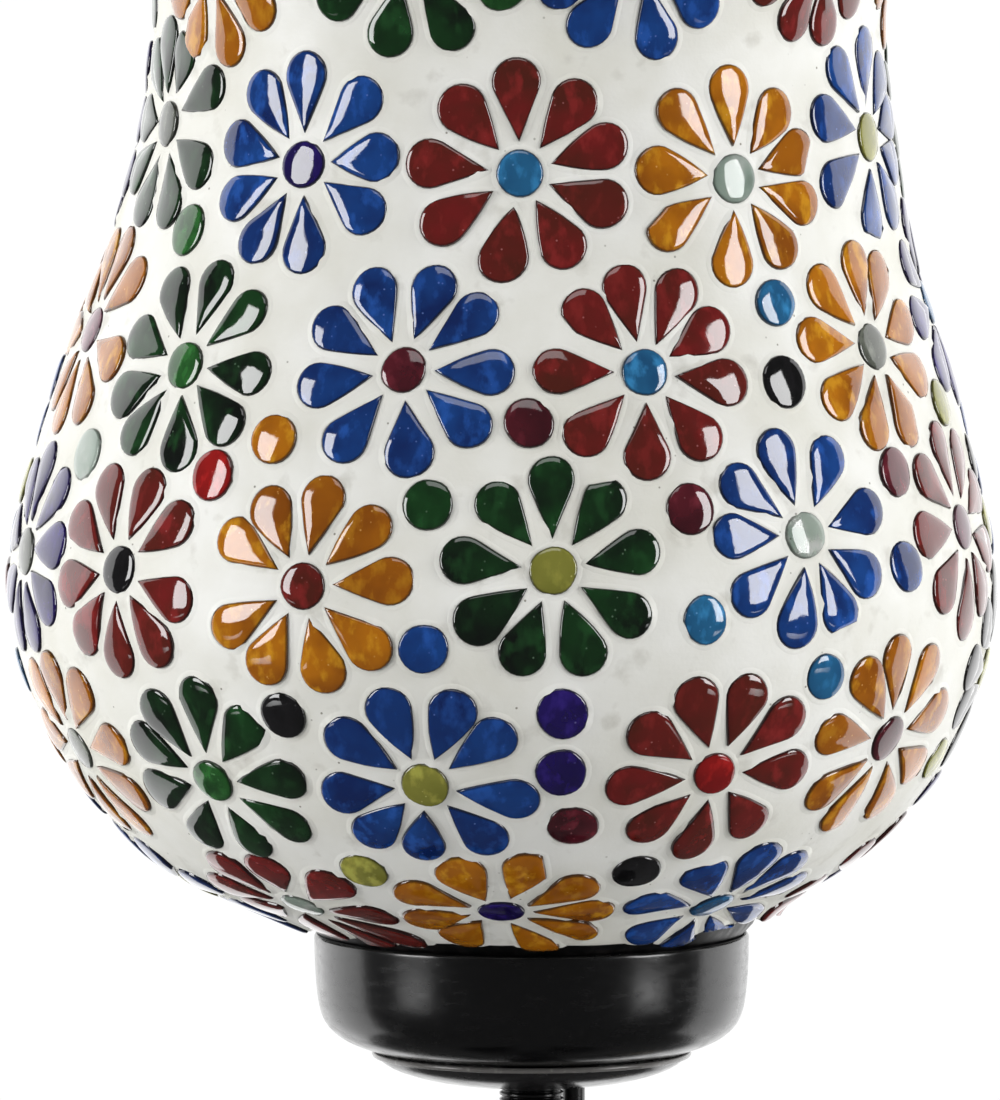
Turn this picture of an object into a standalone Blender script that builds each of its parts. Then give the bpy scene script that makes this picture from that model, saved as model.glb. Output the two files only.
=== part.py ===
"""Mosaic glass table lamp: a pear-shaped mosaic shade standing loose in a black cup on a slim stem.

Lengths in the tables below are millimetres and angles are degrees; every helper turns them into metres.
The origin is the centre of the base's underside, on the stem's axis. +Z is up, +X is to the lamp's right
and the lead leaves it at the back, towards +Y.
"""

import math

import bmesh
import bpy
from mathutils import Matrix, Vector

MM = 0.001
GAP = 0.3  # clearance between pieces that touch
MERGE_M = 0.00001

# Heights
RIM_Z = 175.0  # rim of the cup, which the shade's own heights are counted from
MOUTH_HEIGHT = 167.0  # top of the shade above the cup's rim
BASE_TOP_Z = 20.0
HUB_TOP_Z = 34.0

# Base and stem
PAD_RADIUS = 57.6
PAD_THICKNESS = 2.0
BASE_RADIUS = 62.0
PIPE_RADIUS = 5.0
PIPE_BORE = 3.6
PIPE_HOLE = PIPE_RADIUS + GAP
NUT_RADIUS = 7.5

# Cup and saucer, with heights counted from the rim
CUP_RADIUS = 33.7
CUP_WALL = 0.9
CUP_FLOOR = -18.3
SAUCER_RADIUS = 24.1
SAUCER_DEPTH = 5.4

# Shade
GLASS_THICKNESS = 2.4
MOSAIC_THICKNESS = 2.4
MOSAIC_EDGE = 0.9  # thickness of the mosaic at its lower edge
MOSAIC_HEM = 0.7  # height of that edge above the cup's rim
# Outside of the mosaic as (radius, height above the cup's rim), from the hem up to the mouth
MOSAIC_OUTLINE = [
    (35.3, MOSAIC_HEM),
    (42.5, 5.0),
    (56.9, 14.0),
    (69.9, 30.0),
    (76.3, 54.0),
    (71.0, 80.0),
    (60.9, 111.0),
    (56.4, 139.0),
    (57.8, 154.0),
    (63.0, MOUTH_HEIGHT),
]
# The bowl below the hem, from the hole that the lampholder passes through
BOWL_OUTLINE = [(20.6, -9.0), (27.4, -6.2), (31.0, -2.6), (32.3, -0.4)]
# The hand-blown glass isn't straight: (height above the rim, how far its centre lies towards +X)
SHADE_CENTRE = [
    (-10.0, 0.0),
    (0.0, 0.0),
    (8.0, -3.9),
    (62.0, -4.7),
    (90.0, -4.1),
    (130.0, -2.2),
    (170.0, -1.2),
]

# Lampholder and bulb, with heights counted from the rim
HOLDER_RADIUS = 14.0
HOLDER_WALL = 1.4
CAP_BOTTOM = -11.9
CAP_TOP = 3.0
SKIRT_TOP = 28.0
BULB_RADIUS = 14.0
BULB_TOP = 74.0
BULB_GLASS = 0.7

# Lead
LEAD_RADIUS = 1.8
LEAD_X = 6.5
LEAD_Y = 6.9
LEAD_STEP = 2.5 * 2 * LEAD_RADIUS
CORE_RADIUS = 0.75
SWITCH_CENTRE = (24.0, 86.0)
SWITCH_LENGTH = 52.0
SWITCH_WIDTH = 22.0
SWITCH_HEIGHT = 14.0
SWITCH_SPLIT = 6.0  # height of the seam between its halves, where the lead enters
ROCKER_LENGTH = 14.0
ROCKER_WIDTH = 8.4
ROCKER_PIVOT_Z = 10.6
ROCKER_TILT = 8.0
COIL_CENTRE = (-36.0, 110.9)
COIL_RADIUS = 21.3  # at the middle of its turns
COIL_HALF_WIDTH = 5.4
COIL_BOTTOM = 1.2
COIL_TOP = 14.2
TIE_THICKNESS = 0.8
TIE_WIDTH = 6.0
PLUG_Y = 126.0
PLUG_Z = 7.0
PLUG_TIP_X = 2.0
PLUG_RELIEF = 22.0
PLUG_LENGTH = 30.0
PLUG_WIDTH = 26.0
PLUG_BACK_WIDTH = 18.7
PLUG_HEIGHT = 14.0
PIN_RADIUS = 2.0
PIN_LENGTH = 19.0
PIN_SPACING = 19.0

STEPS = 32
SHADE_STEPS = 36


# ---------------------------------------------------------------- helpers


def clear_scene():
    for old in list(bpy.data.objects):
        bpy.data.objects.remove(old, do_unlink=True)


def make_collection(name):
    collection = bpy.data.collections.new(name)
    bpy.context.scene.collection.children.link(collection)
    return collection


def make_material(name, colour, roughness, metallic=0.0, transmission=0.0):
    material = bpy.data.materials.new(name)
    material.use_nodes = True
    shader = material.node_tree.nodes["Principled BSDF"]
    shader.inputs["Base Color"].default_value = (*colour, 1.0)
    shader.inputs["Roughness"].default_value = roughness
    shader.inputs["Metallic"].default_value = metallic
    shader.inputs["Transmission Weight"].default_value = transmission
    return material


def place(name, data, material):
    """A new object of the lamp, with its material."""
    piece = bpy.data.objects.new(name, data)
    data.materials.append(material)
    LAMP.objects.link(piece)
    return piece


def smooth(mesh):
    mesh.shade_smooth()
    mesh.set_sharp_from_angle(angle=math.radians(35))


def turned(name, outline, material, steps=STEPS, centre=(0.0, 0.0)):
    """A shape turned about Z. Its outline of (radius, z) runs down the outer side and back up the inner
    side, or from the axis to the axis where the shape is solid."""
    points = [Vector((r, 0.0, z)) * MM for r, z in outline]
    solid = outline[0][0] == 0.0
    edges = [(i, i + 1) for i in range(len(points) - 1)]
    if not solid:
        edges.append((len(points) - 1, 0))
    mesh = bpy.data.meshes.new(name)
    mesh.from_pydata(points, edges, [])
    piece = place(name, mesh, material)
    piece.location = (centre[0] * MM, centre[1] * MM, 0.0)
    screw = piece.modifiers.new("turn", "SCREW")
    screw.axis = "Z"
    screw.steps = steps
    screw.render_steps = steps
    screw.use_merge_vertices = True
    screw.merge_threshold = MERGE_M
    screw.use_smooth_shade = True
    return piece


def as_mesh(piece):
    """The same object with its modifiers, or its curve, turned into a plain welded mesh."""
    graph = bpy.context.evaluated_depsgraph_get()
    mesh = bpy.data.meshes.new_from_object(piece.evaluated_get(graph))
    work = bmesh.new()
    work.from_mesh(mesh)
    bmesh.ops.remove_doubles(work, verts=work.verts, dist=MERGE_M)
    work.to_mesh(mesh)
    work.free()
    name, place_in_world, material = piece.name, piece.matrix_world.copy(), piece.data.materials[0]
    bpy.data.objects.remove(piece, do_unlink=True)
    mesh.materials.clear()
    solid = place(name, mesh, material)
    solid.matrix_world = place_in_world
    smooth(mesh)
    return solid


def tube(name, points, radius, material, resolution=2):
    """A round wire or lead along points."""
    curve = bpy.data.curves.new(name, "CURVE")
    curve.dimensions = "3D"
    curve.bevel_depth = radius * MM
    curve.bevel_resolution = resolution
    curve.use_fill_caps = True
    spline = curve.splines.new("POLY")
    spline.points.add(len(points) - 1)
    for point, co in zip(spline.points, points):
        point.co = (*(Vector(co) * MM), 1.0)
    return place(name, curve, material)


def plate(name, loops, thickness, material, location, rotation=(0.0, 0.0, 0.0)):
    """A flat outline with holes, as thick as stated, centred on location."""
    curve = bpy.data.curves.new(name, "CURVE")
    curve.dimensions = "2D"
    curve.fill_mode = "BOTH"
    curve.extrude = thickness * MM / 2
    for loop in loops:
        spline = curve.splines.new("POLY")
        spline.points.add(len(loop) - 1)
        spline.use_cyclic_u = True
        for point, (x, y) in zip(spline.points, loop):
            point.co = (x * MM, y * MM, 0.0, 1.0)
    piece = place(name, curve, material)
    piece.location = Vector(location) * MM
    piece.rotation_euler = [math.radians(angle) for angle in rotation]
    return piece


def block(name, size, location, material, bevel=0.0, segments=2, taper=1.0):
    """A box with rounded edges, whose +X end is taper times as wide as its -X end."""
    mesh = bpy.data.meshes.new(name)
    work = bmesh.new()
    bmesh.ops.create_cube(work, size=MM)
    for vert in work.verts:
        vert.co = Vector(a * b for a, b in zip(vert.co, size))
        if vert.co.x > 0:
            vert.co.y *= taper
    if bevel:
        edges = list(work.edges)
        bmesh.ops.bevel(work, geom=edges, offset=bevel * MM, segments=segments, profile=0.5, affect="EDGES")
    work.to_mesh(mesh)
    work.free()
    piece = place(name, mesh, material)
    piece.location = Vector(location) * MM
    smooth(mesh)
    return piece


def rod(name, radii, length, location, direction, material, sides=20):
    """A cylinder, or a cone of two radii, from location along direction."""
    mesh = bpy.data.meshes.new(name)
    work = bmesh.new()
    bmesh.ops.create_cone(
        work,
        cap_ends=True,
        segments=sides,
        radius1=radii[0] * MM,
        radius2=radii[1] * MM,
        depth=length * MM,
        matrix=Matrix.Translation((0.0, 0.0, length * MM / 2)),
    )
    work.to_mesh(mesh)
    work.free()
    piece = place(name, mesh, material)
    piece.location = Vector(location) * MM
    piece.rotation_euler = Vector(direction).to_track_quat("Z", "Y").to_euler()
    smooth(mesh)
    return piece


def cut(piece, cutter):
    """Cut a hidden cutter out of a piece."""
    LAMP.objects.unlink(cutter)
    CUTTERS.objects.link(cutter)
    cutter.hide_render = True
    cutter.display_type = "WIRE"
    boolean = piece.modifiers.new("cut", "BOOLEAN")
    boolean.operation = "DIFFERENCE"
    boolean.solver = "EXACT"
    boolean.object = cutter


def through_points(points, step):
    """Points about step apart on a smooth curve through the given ones."""
    vectors = [Vector(p) for p in points]
    before = vectors[0] * 2 - vectors[1]
    after = vectors[-1] * 2 - vectors[-2]
    padded = [before, *vectors, after]
    line = []
    for a, b, c, d in zip(padded, padded[1:], padded[2:], padded[3:]):
        count = max(1, round((c - b).length / step))
        for k in range(count):
            t = k / count
            line.append(
                0.5
                * (
                    2 * b
                    + (c - a) * t
                    + (2 * a - 5 * b + 4 * c - d) * t**2
                    + (3 * b - a - 3 * c + d) * t**3
                )
            )
    line.append(vectors[-1])
    return line


def offset(outline, distances):
    """An outline moved to its left by a distance for each of its points."""
    moved = []
    for i, (r, z) in enumerate(outline):
        before = outline[max(i - 1, 0)]
        after = outline[min(i + 1, len(outline) - 1)]
        along = Vector((after[0] - before[0], after[1] - before[1])).normalized()
        moved.append((r - along.y * distances[i], z + along.x * distances[i]))
    return moved


def circle(radius, sides, centre=(0.0, 0.0)):
    x, y = centre
    turns = [2 * math.pi * k / sides for k in range(sides)]
    return [(x + radius * math.cos(a), y + radius * math.sin(a)) for a in turns]


def around_axis(distance, angle):
    return distance * math.cos(math.radians(angle)), distance * math.sin(math.radians(angle))


# ---------------------------------------------------------------- base and stem


def make_base():
    edge = 0.6
    turned(
        "base_pad",
        [
            (0.0, PAD_THICKNESS),
            (PAD_RADIUS - edge, PAD_THICKNESS),
            (PAD_RADIUS, PAD_THICKNESS - edge),
            (PAD_RADIUS, edge),
            (PAD_RADIUS - edge, 0.0),
            (0.0, 0.0),
        ],
        FELT,
    )
    bottom = PAD_THICKNESS + GAP
    wall = 1.2
    crown = [
        (12.5, BASE_TOP_Z),
        (14.4, BASE_TOP_Z - 0.9),
        (18.5, 17.2),
        (26.0, 15.0),
        (38.0, 12.0),
        (50.0, 9.3),
        (57.2, 7.4),
        (60.6, 6.6),
        (BASE_RADIUS, 5.2),
        (BASE_RADIUS, bottom),
    ]
    under = offset(crown, [-wall] * len(crown))
    under[0] = (12.0, BASE_TOP_Z - wall)
    under[-1] = (BASE_RADIUS - wall, bottom)
    dome = [(PIPE_HOLE, BASE_TOP_Z), *crown, *reversed(under), (PIPE_HOLE, BASE_TOP_Z - wall)]
    turned("base_dome", dome, ENAMEL)
    recess_top = 7.6
    boss_top = BASE_TOP_Z - wall - GAP
    turned(
        "base_weight",
        [
            (10.2, boss_top),
            (11.0, boss_top - 0.8),
            (11.6, 12.0),
            (46.0, 7.2),
            (50.0, 5.6),
            (50.0, bottom),
            (10.0, bottom),
            (10.0, recess_top),
            (PIPE_HOLE, recess_top),
            (PIPE_HOLE, boss_top),
        ],
        IRON,
        24,
    )
    turned("base_washer", ring_outline(8.5, PIPE_HOLE, recess_top - 0.9, recess_top - GAP), STEEL, 24)
    nut("base_nut", 2.6, recess_top - 1.2, STEEL)
    turned(
        "base_hub",
        [
            (7.0, HUB_TOP_Z),
            (8.7, 33.3),
            (9.3, 31.9),
            (8.7, 30.5),
            (7.3, 29.4),
            (7.4, 26.6),
            (9.0, 24.3),
            (11.7, 23.1),
            (12.3, 21.7),
            (11.8, BASE_TOP_Z + GAP),
            (PIPE_HOLE, BASE_TOP_Z + GAP),
            (PIPE_HOLE, HUB_TOP_Z),
        ],
        ENAMEL,
        24,
    )


def ring_outline(outer, inner, low, high):
    return [(outer, high), (outer, low), (inner, low), (inner, high)]


def nut(name, low, high, material):
    """A hexagonal lock nut on the pipe."""
    loops = [circle(NUT_RADIUS, 6), circle(PIPE_HOLE, 24)]
    plate(name, loops, high - low, material, (0.0, 0.0, (low + high) / 2))


def make_stem():
    top = RIM_Z + CAP_BOTTOM + 3.3
    turned("stem_pipe", ring_outline(PIPE_RADIUS, PIPE_BORE, PAD_THICKNESS + 0.8, top), ENAMEL, 28)
    reach = math.hypot(LEAD_X, LEAD_Y)
    for name, height in (("lead_clip_upper", 130.0), ("lead_clip_lower", 68.0)):
        lead_clip(name, height, reach)


def lead_clip(name, height, reach):
    """A clip that grips the pipe and holds the lead beside it."""
    wall = 1.3
    big = PIPE_HOLE + wall
    small = LEAD_RADIUS + GAP + wall
    tangent = math.degrees(math.acos((big - small) / reach))
    outline = [around_axis(big, tangent + k * (360 - 2 * tangent) / 16) for k in range(17)]
    for k in range(9):
        x, y = around_axis(small, -tangent + k * 2 * tangent / 8)
        outline.append((reach + x, y))
    loops = [outline, circle(PIPE_HOLE, 24), circle(LEAD_RADIUS + GAP, 12, (reach, 0.0))]
    turn = math.degrees(math.atan2(LEAD_Y, LEAD_X))
    plate(name, loops, 5.0, BLACK_PLASTIC, (0.0, 0.0, height), (0.0, 0.0, turn))


# ---------------------------------------------------------------- cup and saucer


def make_cup():
    rounding = [(33.1, -11.0), (32.2, -13.7), (30.5, -15.5), (28.2, -16.8), (24.3, CUP_FLOOR)]
    outer = [(CUP_RADIUS - 0.4, 0.0), (CUP_RADIUS, -0.45), *rounding]
    inner = offset(outer, [-CUP_WALL] * len(outer))
    inner[0] = (CUP_RADIUS - CUP_WALL + 0.1, -0.1)
    inner[1] = (CUP_RADIUS - CUP_WALL, -0.6)
    inner[-1] = (24.0, CUP_FLOOR + CUP_WALL)
    loop = [*outer, (PIPE_HOLE, CUP_FLOOR), (PIPE_HOLE, CUP_FLOOR + CUP_WALL), *reversed(inner)]
    cup = turned("gallery_cup", [(r, RIM_Z + z) for r, z in loop], ENAMEL)
    low = RIM_Z + CUP_FLOOR - 1.0
    cut(cup, rod("wire_hole_in_cup", (2.6, 2.6), 3.0, (LEAD_X, LEAD_Y, low), (0, 0, 1), ENAMEL))

    top = CUP_FLOOR - GAP
    turns = [math.radians(90 * k / 6) for k in range(7)]
    outside = [(SAUCER_RADIUS * math.cos(a), top - SAUCER_DEPTH * math.sin(a)) for a in turns[:-1]]
    inside_radius = SAUCER_RADIUS - 1.0
    inside_depth = SAUCER_DEPTH - 1.0
    inside = [(inside_radius * math.cos(a), top - inside_depth * math.sin(a)) for a in turns[:-1]]
    outside = [p for p in outside if p[0] > PIPE_HOLE + 1.0]
    inside = [p for p in inside if p[0] > PIPE_HOLE + 1.0]
    lowest = top - SAUCER_DEPTH + 0.15
    loop = [*outside, (PIPE_HOLE, lowest), (PIPE_HOLE, lowest + 1.0), *reversed(inside)]
    saucer = turned("gallery_saucer", [(r, RIM_Z + z) for r, z in loop], ENAMEL)
    hole = rod("lead_hole_in_saucer", (3.2, 3.2), 4.0, (LEAD_X, LEAD_Y, RIM_Z - 25.0), (0, 0, 1), ENAMEL)
    cut(saucer, hole)
    bush = [
        (3.8, RIM_Z - 21.0),
        (3.8, RIM_Z - 21.8),
        (2.9, RIM_Z - 21.8),
        (2.9, RIM_Z - 23.2),
        (LEAD_RADIUS + GAP, RIM_Z - 23.2),
        (LEAD_RADIUS + GAP, RIM_Z - 21.0),
    ]
    turned("lead_bush", bush, BLACK_PLASTIC, 16, (LEAD_X, LEAD_Y))
    floor = RIM_Z + CUP_FLOOR + CUP_WALL
    turned("cup_washer", ring_outline(8.0, PIPE_HOLE, floor + GAP, floor + 1.1), STEEL, 24)
    nut("cup_nut", floor + 1.4, RIM_Z + CAP_BOTTOM - GAP, STEEL)


# ---------------------------------------------------------------- shade


def shade_centre(height):
    """How far the shade's centre lies towards +X at a height above the cup's rim."""
    points = SHADE_CENTRE
    for (low, a), (high, b) in zip(points, points[1:]):
        if height <= high:
            t = min(1.0, max(0.0, (height - low) / (high - low)))
            return a + (b - a) * t * t * (3 - 2 * t)
    return points[-1][1]


def mosaic_outline():
    """The mosaic's outside, its inside and the glass's outside, as (radius, height above the rim)."""
    outside = [(p.x, p.y) for p in through_points([(r, z, 0.0) for r, z in MOSAIC_OUTLINE], 13.0)]
    thickness = []
    for _, z in outside:
        t = min(1.0, (z - MOSAIC_HEM) / 4.0)
        thickness.append(MOSAIC_EDGE + (MOSAIC_THICKNESS - MOSAIC_EDGE) * t)
    inside = offset(outside, thickness)
    glass = offset(outside, [t + GAP for t in thickness])
    inside[-1] = (inside[-1][0], MOUTH_HEIGHT)
    glass[-1] = (glass[-1][0], MOUTH_HEIGHT)
    return outside, inside, glass


def lean(piece):
    """Move each height of a turned shade piece to where the glass's centre is."""
    solid = as_mesh(piece)
    for vert in solid.data.vertices:
        vert.co.x += shade_centre(vert.co.z / MM - RIM_Z) * MM
    return solid


def make_shade():
    outside, inside, glass = mosaic_outline()
    skin = [*reversed(outside), *inside]
    lean(turned("mosaic_skin", [(r, RIM_Z + z) for r, z in skin], GROUT, SHADE_STEPS))
    wall = [*BOWL_OUTLINE, *glass]
    lining = offset(wall, [GLASS_THICKNESS] * len(wall))
    lining[-1] = (lining[-1][0], MOUTH_HEIGHT)
    loop = [*reversed(wall), *lining]
    lean(turned("glass_vase", [(r, RIM_Z + z) for r, z in loop], CLEAR_GLASS, SHADE_STEPS))


# ---------------------------------------------------------------- lampholder and bulb


def make_holder():
    inner = HOLDER_RADIUS - HOLDER_WALL
    cap = [
        (HOLDER_RADIUS, CAP_TOP),
        (HOLDER_RADIUS, CAP_BOTTOM + 1.5),
        (HOLDER_RADIUS - 1.1, CAP_BOTTOM),
        (PIPE_HOLE, CAP_BOTTOM),
        (PIPE_HOLE, CAP_BOTTOM + 1.5),
        (inner - 0.6, CAP_BOTTOM + 1.5),
        (inner, CAP_BOTTOM + 2.3),
        (inner, CAP_TOP),
    ]
    holder_cap = turned("holder_cap", [(r, RIM_Z + z) for r, z in cap], WHITE_PLASTIC, 24)
    low = RIM_Z + CAP_BOTTOM - 1.0
    hole = rod("wire_hole_in_cap", (2.3, 2.3), 4.0, (LEAD_X, LEAD_Y, low), (0, 0, 1), WHITE_PLASTIC)
    cut(holder_cap, hole)
    skirt = [
        (13.4, SKIRT_TOP),
        (HOLDER_RADIUS, SKIRT_TOP - 0.8),
        (HOLDER_RADIUS, CAP_TOP + GAP),
        (inner, CAP_TOP + GAP),
        (inner, SKIRT_TOP - 1.6),
        (9.2, SKIRT_TOP - 1.6),
        (9.2, SKIRT_TOP),
    ]
    turned("holder_skirt", [(r, RIM_Z + z) for r, z in skirt], WHITE_PLASTIC, 24)
    insert_top = 2.6
    insert = [(0.0, insert_top), (inner - GAP, insert_top), (inner - GAP, -3.0), (0.0, -3.0)]
    turned("holder_insert", [(r, RIM_Z + z) for r, z in insert], CERAMIC, 28)
    shell = [(7.6, 24.0), (7.6, 3.9), (9.0, 3.9), (9.0, 2.9), (7.2, 2.9), (7.2, 24.0)]
    turned("screw_shell", [(r, RIM_Z + z) for r, z in shell], BRASS, 28)
    block("centre_contact", (9.0, 3.2, 1.0), (0.0, 0.0, RIM_Z + 3.4), BRASS, 0.2, 1)
    lead_angle = math.degrees(math.atan2(LEAD_Y, LEAD_X))
    for name, side in (("live", 1.0), ("neutral", -1.0)):
        angle = lead_angle + side * 62.0
        x, y = around_axis(8.2, angle)
        rod(f"terminal_{name}", (2.2, 2.2), 3.2, (x, y, RIM_Z - 6.5), (0, 0, 1), BRASS, 16)
        sx, sy = around_axis(10.7, angle)
        rod(f"terminal_screw_{name}", (1.1, 1.1), 1.0, (sx, sy, RIM_Z - 4.9), (sx, sy, 0.0), STEEL, 12)
        make_core(name, side, x, y)


def make_core(name, side, end_x, end_y):
    """One of the lead's two insulated cores, from the end of its sheath in the saucer to its terminal."""
    away = Vector((LEAD_X, LEAD_Y, 0.0)).normalized()
    across = Vector((-away.y, away.x, 0.0)) * side * 0.98
    start = Vector((LEAD_X, LEAD_Y, 0.0)) + across
    end = Vector((end_x, end_y, 0.0))
    halfway = (start + end) / 2
    halfway *= 8.7 / halfway.length
    route = [
        start + Vector((0, 0, -20.1)),
        start + Vector((0, 0, -16.0)),
        start + Vector((0, 0, -11.5)),
        start.lerp(halfway, 0.25) + Vector((0, 0, -9.2)),
        halfway + Vector((0, 0, -8.6)),
        halfway.lerp(end, 0.8) + Vector((0, 0, -8.2)),
        end + Vector((0, 0, -6.8)),
    ]
    points = through_points([p + Vector((0, 0, RIM_Z)) for p in route], 2.2)
    tube(f"core_{name}", points, CORE_RADIUS, BROWN_PVC if side > 0 else BLUE_PVC, 1)


def bulb_outline():
    """The bulb's outside from its top to its neck, a round head that runs into a straight neck."""
    head_z = BULB_TOP - BULB_RADIUS
    head = [math.radians(90 - 22.5 * k) for k in range(6)]
    points = [(BULB_RADIUS * math.cos(a), head_z + BULB_RADIUS * math.sin(a)) for a in head]
    return [(0.0, BULB_TOP), *points[1:], (9.4, 42.0), (7.2, 35.0), (6.2, 29.5), (6.2, 22.0)]


def make_bulb():
    outside = bulb_outline()
    inside = offset(outside, [-BULB_GLASS] * len(outside))
    inside[0] = (0.0, BULB_TOP - BULB_GLASS)
    inside[-1] = (outside[-1][0] - BULB_GLASS, outside[-1][1])
    loop = [*outside, *reversed(inside)]
    turned("bulb_glass", [(r, RIM_Z + z) for r, z in loop], CLEAR_GLASS, 24)
    cap = [
        (8.3, 28.6),
        (8.3, 27.2),
        (6.9, 24.8),
        (6.9, 9.6),
        (6.1, 8.7),
        (5.6, 8.7),
        (6.5, 10.0),
        (6.5, 24.9),
        (7.9, 27.4),
        (7.9, 28.6),
    ]
    turned("bulb_cap", [(r, RIM_Z + z) for r, z in cap], BRASS, 24)
    insulator = [(0.0, 8.4), (5.3, 8.4), (5.3, 7.9), (3.0, 5.9), (0.0, 5.9)]
    turned("bulb_insulator", [(r, RIM_Z + z) for r, z in insulator], BLACK_PLASTIC, 20)
    contact = [(0.0, 5.6), (2.2, 5.6), (1.6, 4.6), (0.0, 4.3)]
    turned("bulb_contact", [(r, RIM_Z + z) for r, z in contact], STEEL, 16)
    mount = [(0.0, 44.0), (1.3, 43.4), (1.5, 33.0), (3.0, 25.0), (5.1, 23.0), (5.1, 22.0), (0.0, 22.0)]
    turned("bulb_mount", [(r, RIM_Z + z) for r, z in mount], CLEAR_GLASS, 16)
    for name, side in (("left", -1.0), ("right", 1.0)):
        route = [(2.3, 34.0), (3.2, 42.0), (6.5, 51.0), (7.8, 56.0)]
        points = through_points([(side * x, 0.0, RIM_Z + z) for x, z in route], 3.0)
        tube(f"filament_support_{name}", points, 0.35, STEEL, 1)
    turn = [math.radians(180 - 15 * k) for k in range(13)]
    loop = [(7.8 * math.cos(a), 0.0, RIM_Z + 56.6 + 4.0 * math.sin(a)) for a in turn]
    tube("filament", loop, 0.3, STEEL, 1)


# ---------------------------------------------------------------- lead, switch and plug

# The lead's way from the saucer's underside down the stem, over the base and along the table
DROP_ROUTE = [
    (LEAD_X, LEAD_Y, 154.6),
    (LEAD_X, LEAD_Y, 142.0),
    (LEAD_X, LEAD_Y, 120.0),
    (LEAD_X, LEAD_Y, 95.0),
    (LEAD_X, LEAD_Y, 70.0),
    (6.7, 7.0, 56.0),
    (8.6, 8.6, 43.0),
    (14.4, 12.6, 30.6),
    (24.0, 17.6, 22.2),
    (36.0, 23.4, 16.6),
    (48.0, 29.6, 12.4),
    (58.6, 36.4, 6.8),
    (68.0, 45.6, 2.1),
    (73.0, 58.6, 2.1),
    (72.0, 72.0, 2.1),
    (64.6, 82.4, 3.2),
    (SWITCH_CENTRE[0] + SWITCH_LENGTH / 2 + GAP, SWITCH_CENTRE[1], SWITCH_SPLIT),
]
LINK_ROUTE = [
    (SWITCH_CENTRE[0] - SWITCH_LENGTH / 2 - GAP, SWITCH_CENTRE[1], SWITCH_SPLIT),
    (-9.0, SWITCH_CENTRE[1], 4.4),
    (-21.5, SWITCH_CENTRE[1], 3.0),
]
TAIL_ROUTE = [
    (-18.6, 134.2, 11.2),
    (-13.0, 132.4, 9.8),
    (-7.4, 128.4, 8.0),
    (-2.6, 126.4, 7.1),
    (PLUG_TIP_X - GAP - 0.1, PLUG_Y, PLUG_Z),
]


def make_lead():
    tube("lead_drop", through_points(DROP_ROUTE, LEAD_STEP), LEAD_RADIUS, BLACK_PVC)
    tube("lead_link", through_points(LINK_ROUTE, LEAD_STEP), LEAD_RADIUS, BLACK_PVC)
    tube("lead_tail", through_points(TAIL_ROUTE, LEAD_STEP / 2), LEAD_RADIUS, BLACK_PVC)
    edge = 2.2
    outer = COIL_RADIUS + COIL_HALF_WIDTH
    inner = COIL_RADIUS - COIL_HALF_WIDTH
    coil = [
        (outer - edge, COIL_TOP),
        (outer, COIL_TOP - edge),
        (outer, COIL_BOTTOM + edge),
        (outer - edge, COIL_BOTTOM),
        (inner + edge, COIL_BOTTOM),
        (inner, COIL_BOTTOM + edge),
        (inner, COIL_TOP - edge),
        (inner + edge, COIL_TOP),
    ]
    turned("lead_coil", coil, BLACK_PVC, 28, COIL_CENTRE)
    make_tie()


def make_tie():
    """A band round the coil's turns, at its -X side."""
    low = -COIL_HALF_WIDTH - GAP
    high = COIL_HALF_WIDTH + 2 * GAP
    tall = (COIL_TOP - COIL_BOTTOM) / 2 + GAP
    loops = [
        [(low, -tall), (high, -tall), (high, tall), (low, tall)],
        [
            (low - TIE_THICKNESS, -tall - TIE_THICKNESS),
            (high + TIE_THICKNESS, -tall - TIE_THICKNESS),
            (high + TIE_THICKNESS, tall + TIE_THICKNESS),
            (low - TIE_THICKNESS, tall + TIE_THICKNESS),
        ],
    ]
    centre = (COIL_CENTRE[0] - COIL_RADIUS, COIL_CENTRE[1], (COIL_TOP + COIL_BOTTOM) / 2)
    plate("coil_tie", loops, TIE_WIDTH, BLACK_PVC, centre, (90.0, 0.0, 0.0))


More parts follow.
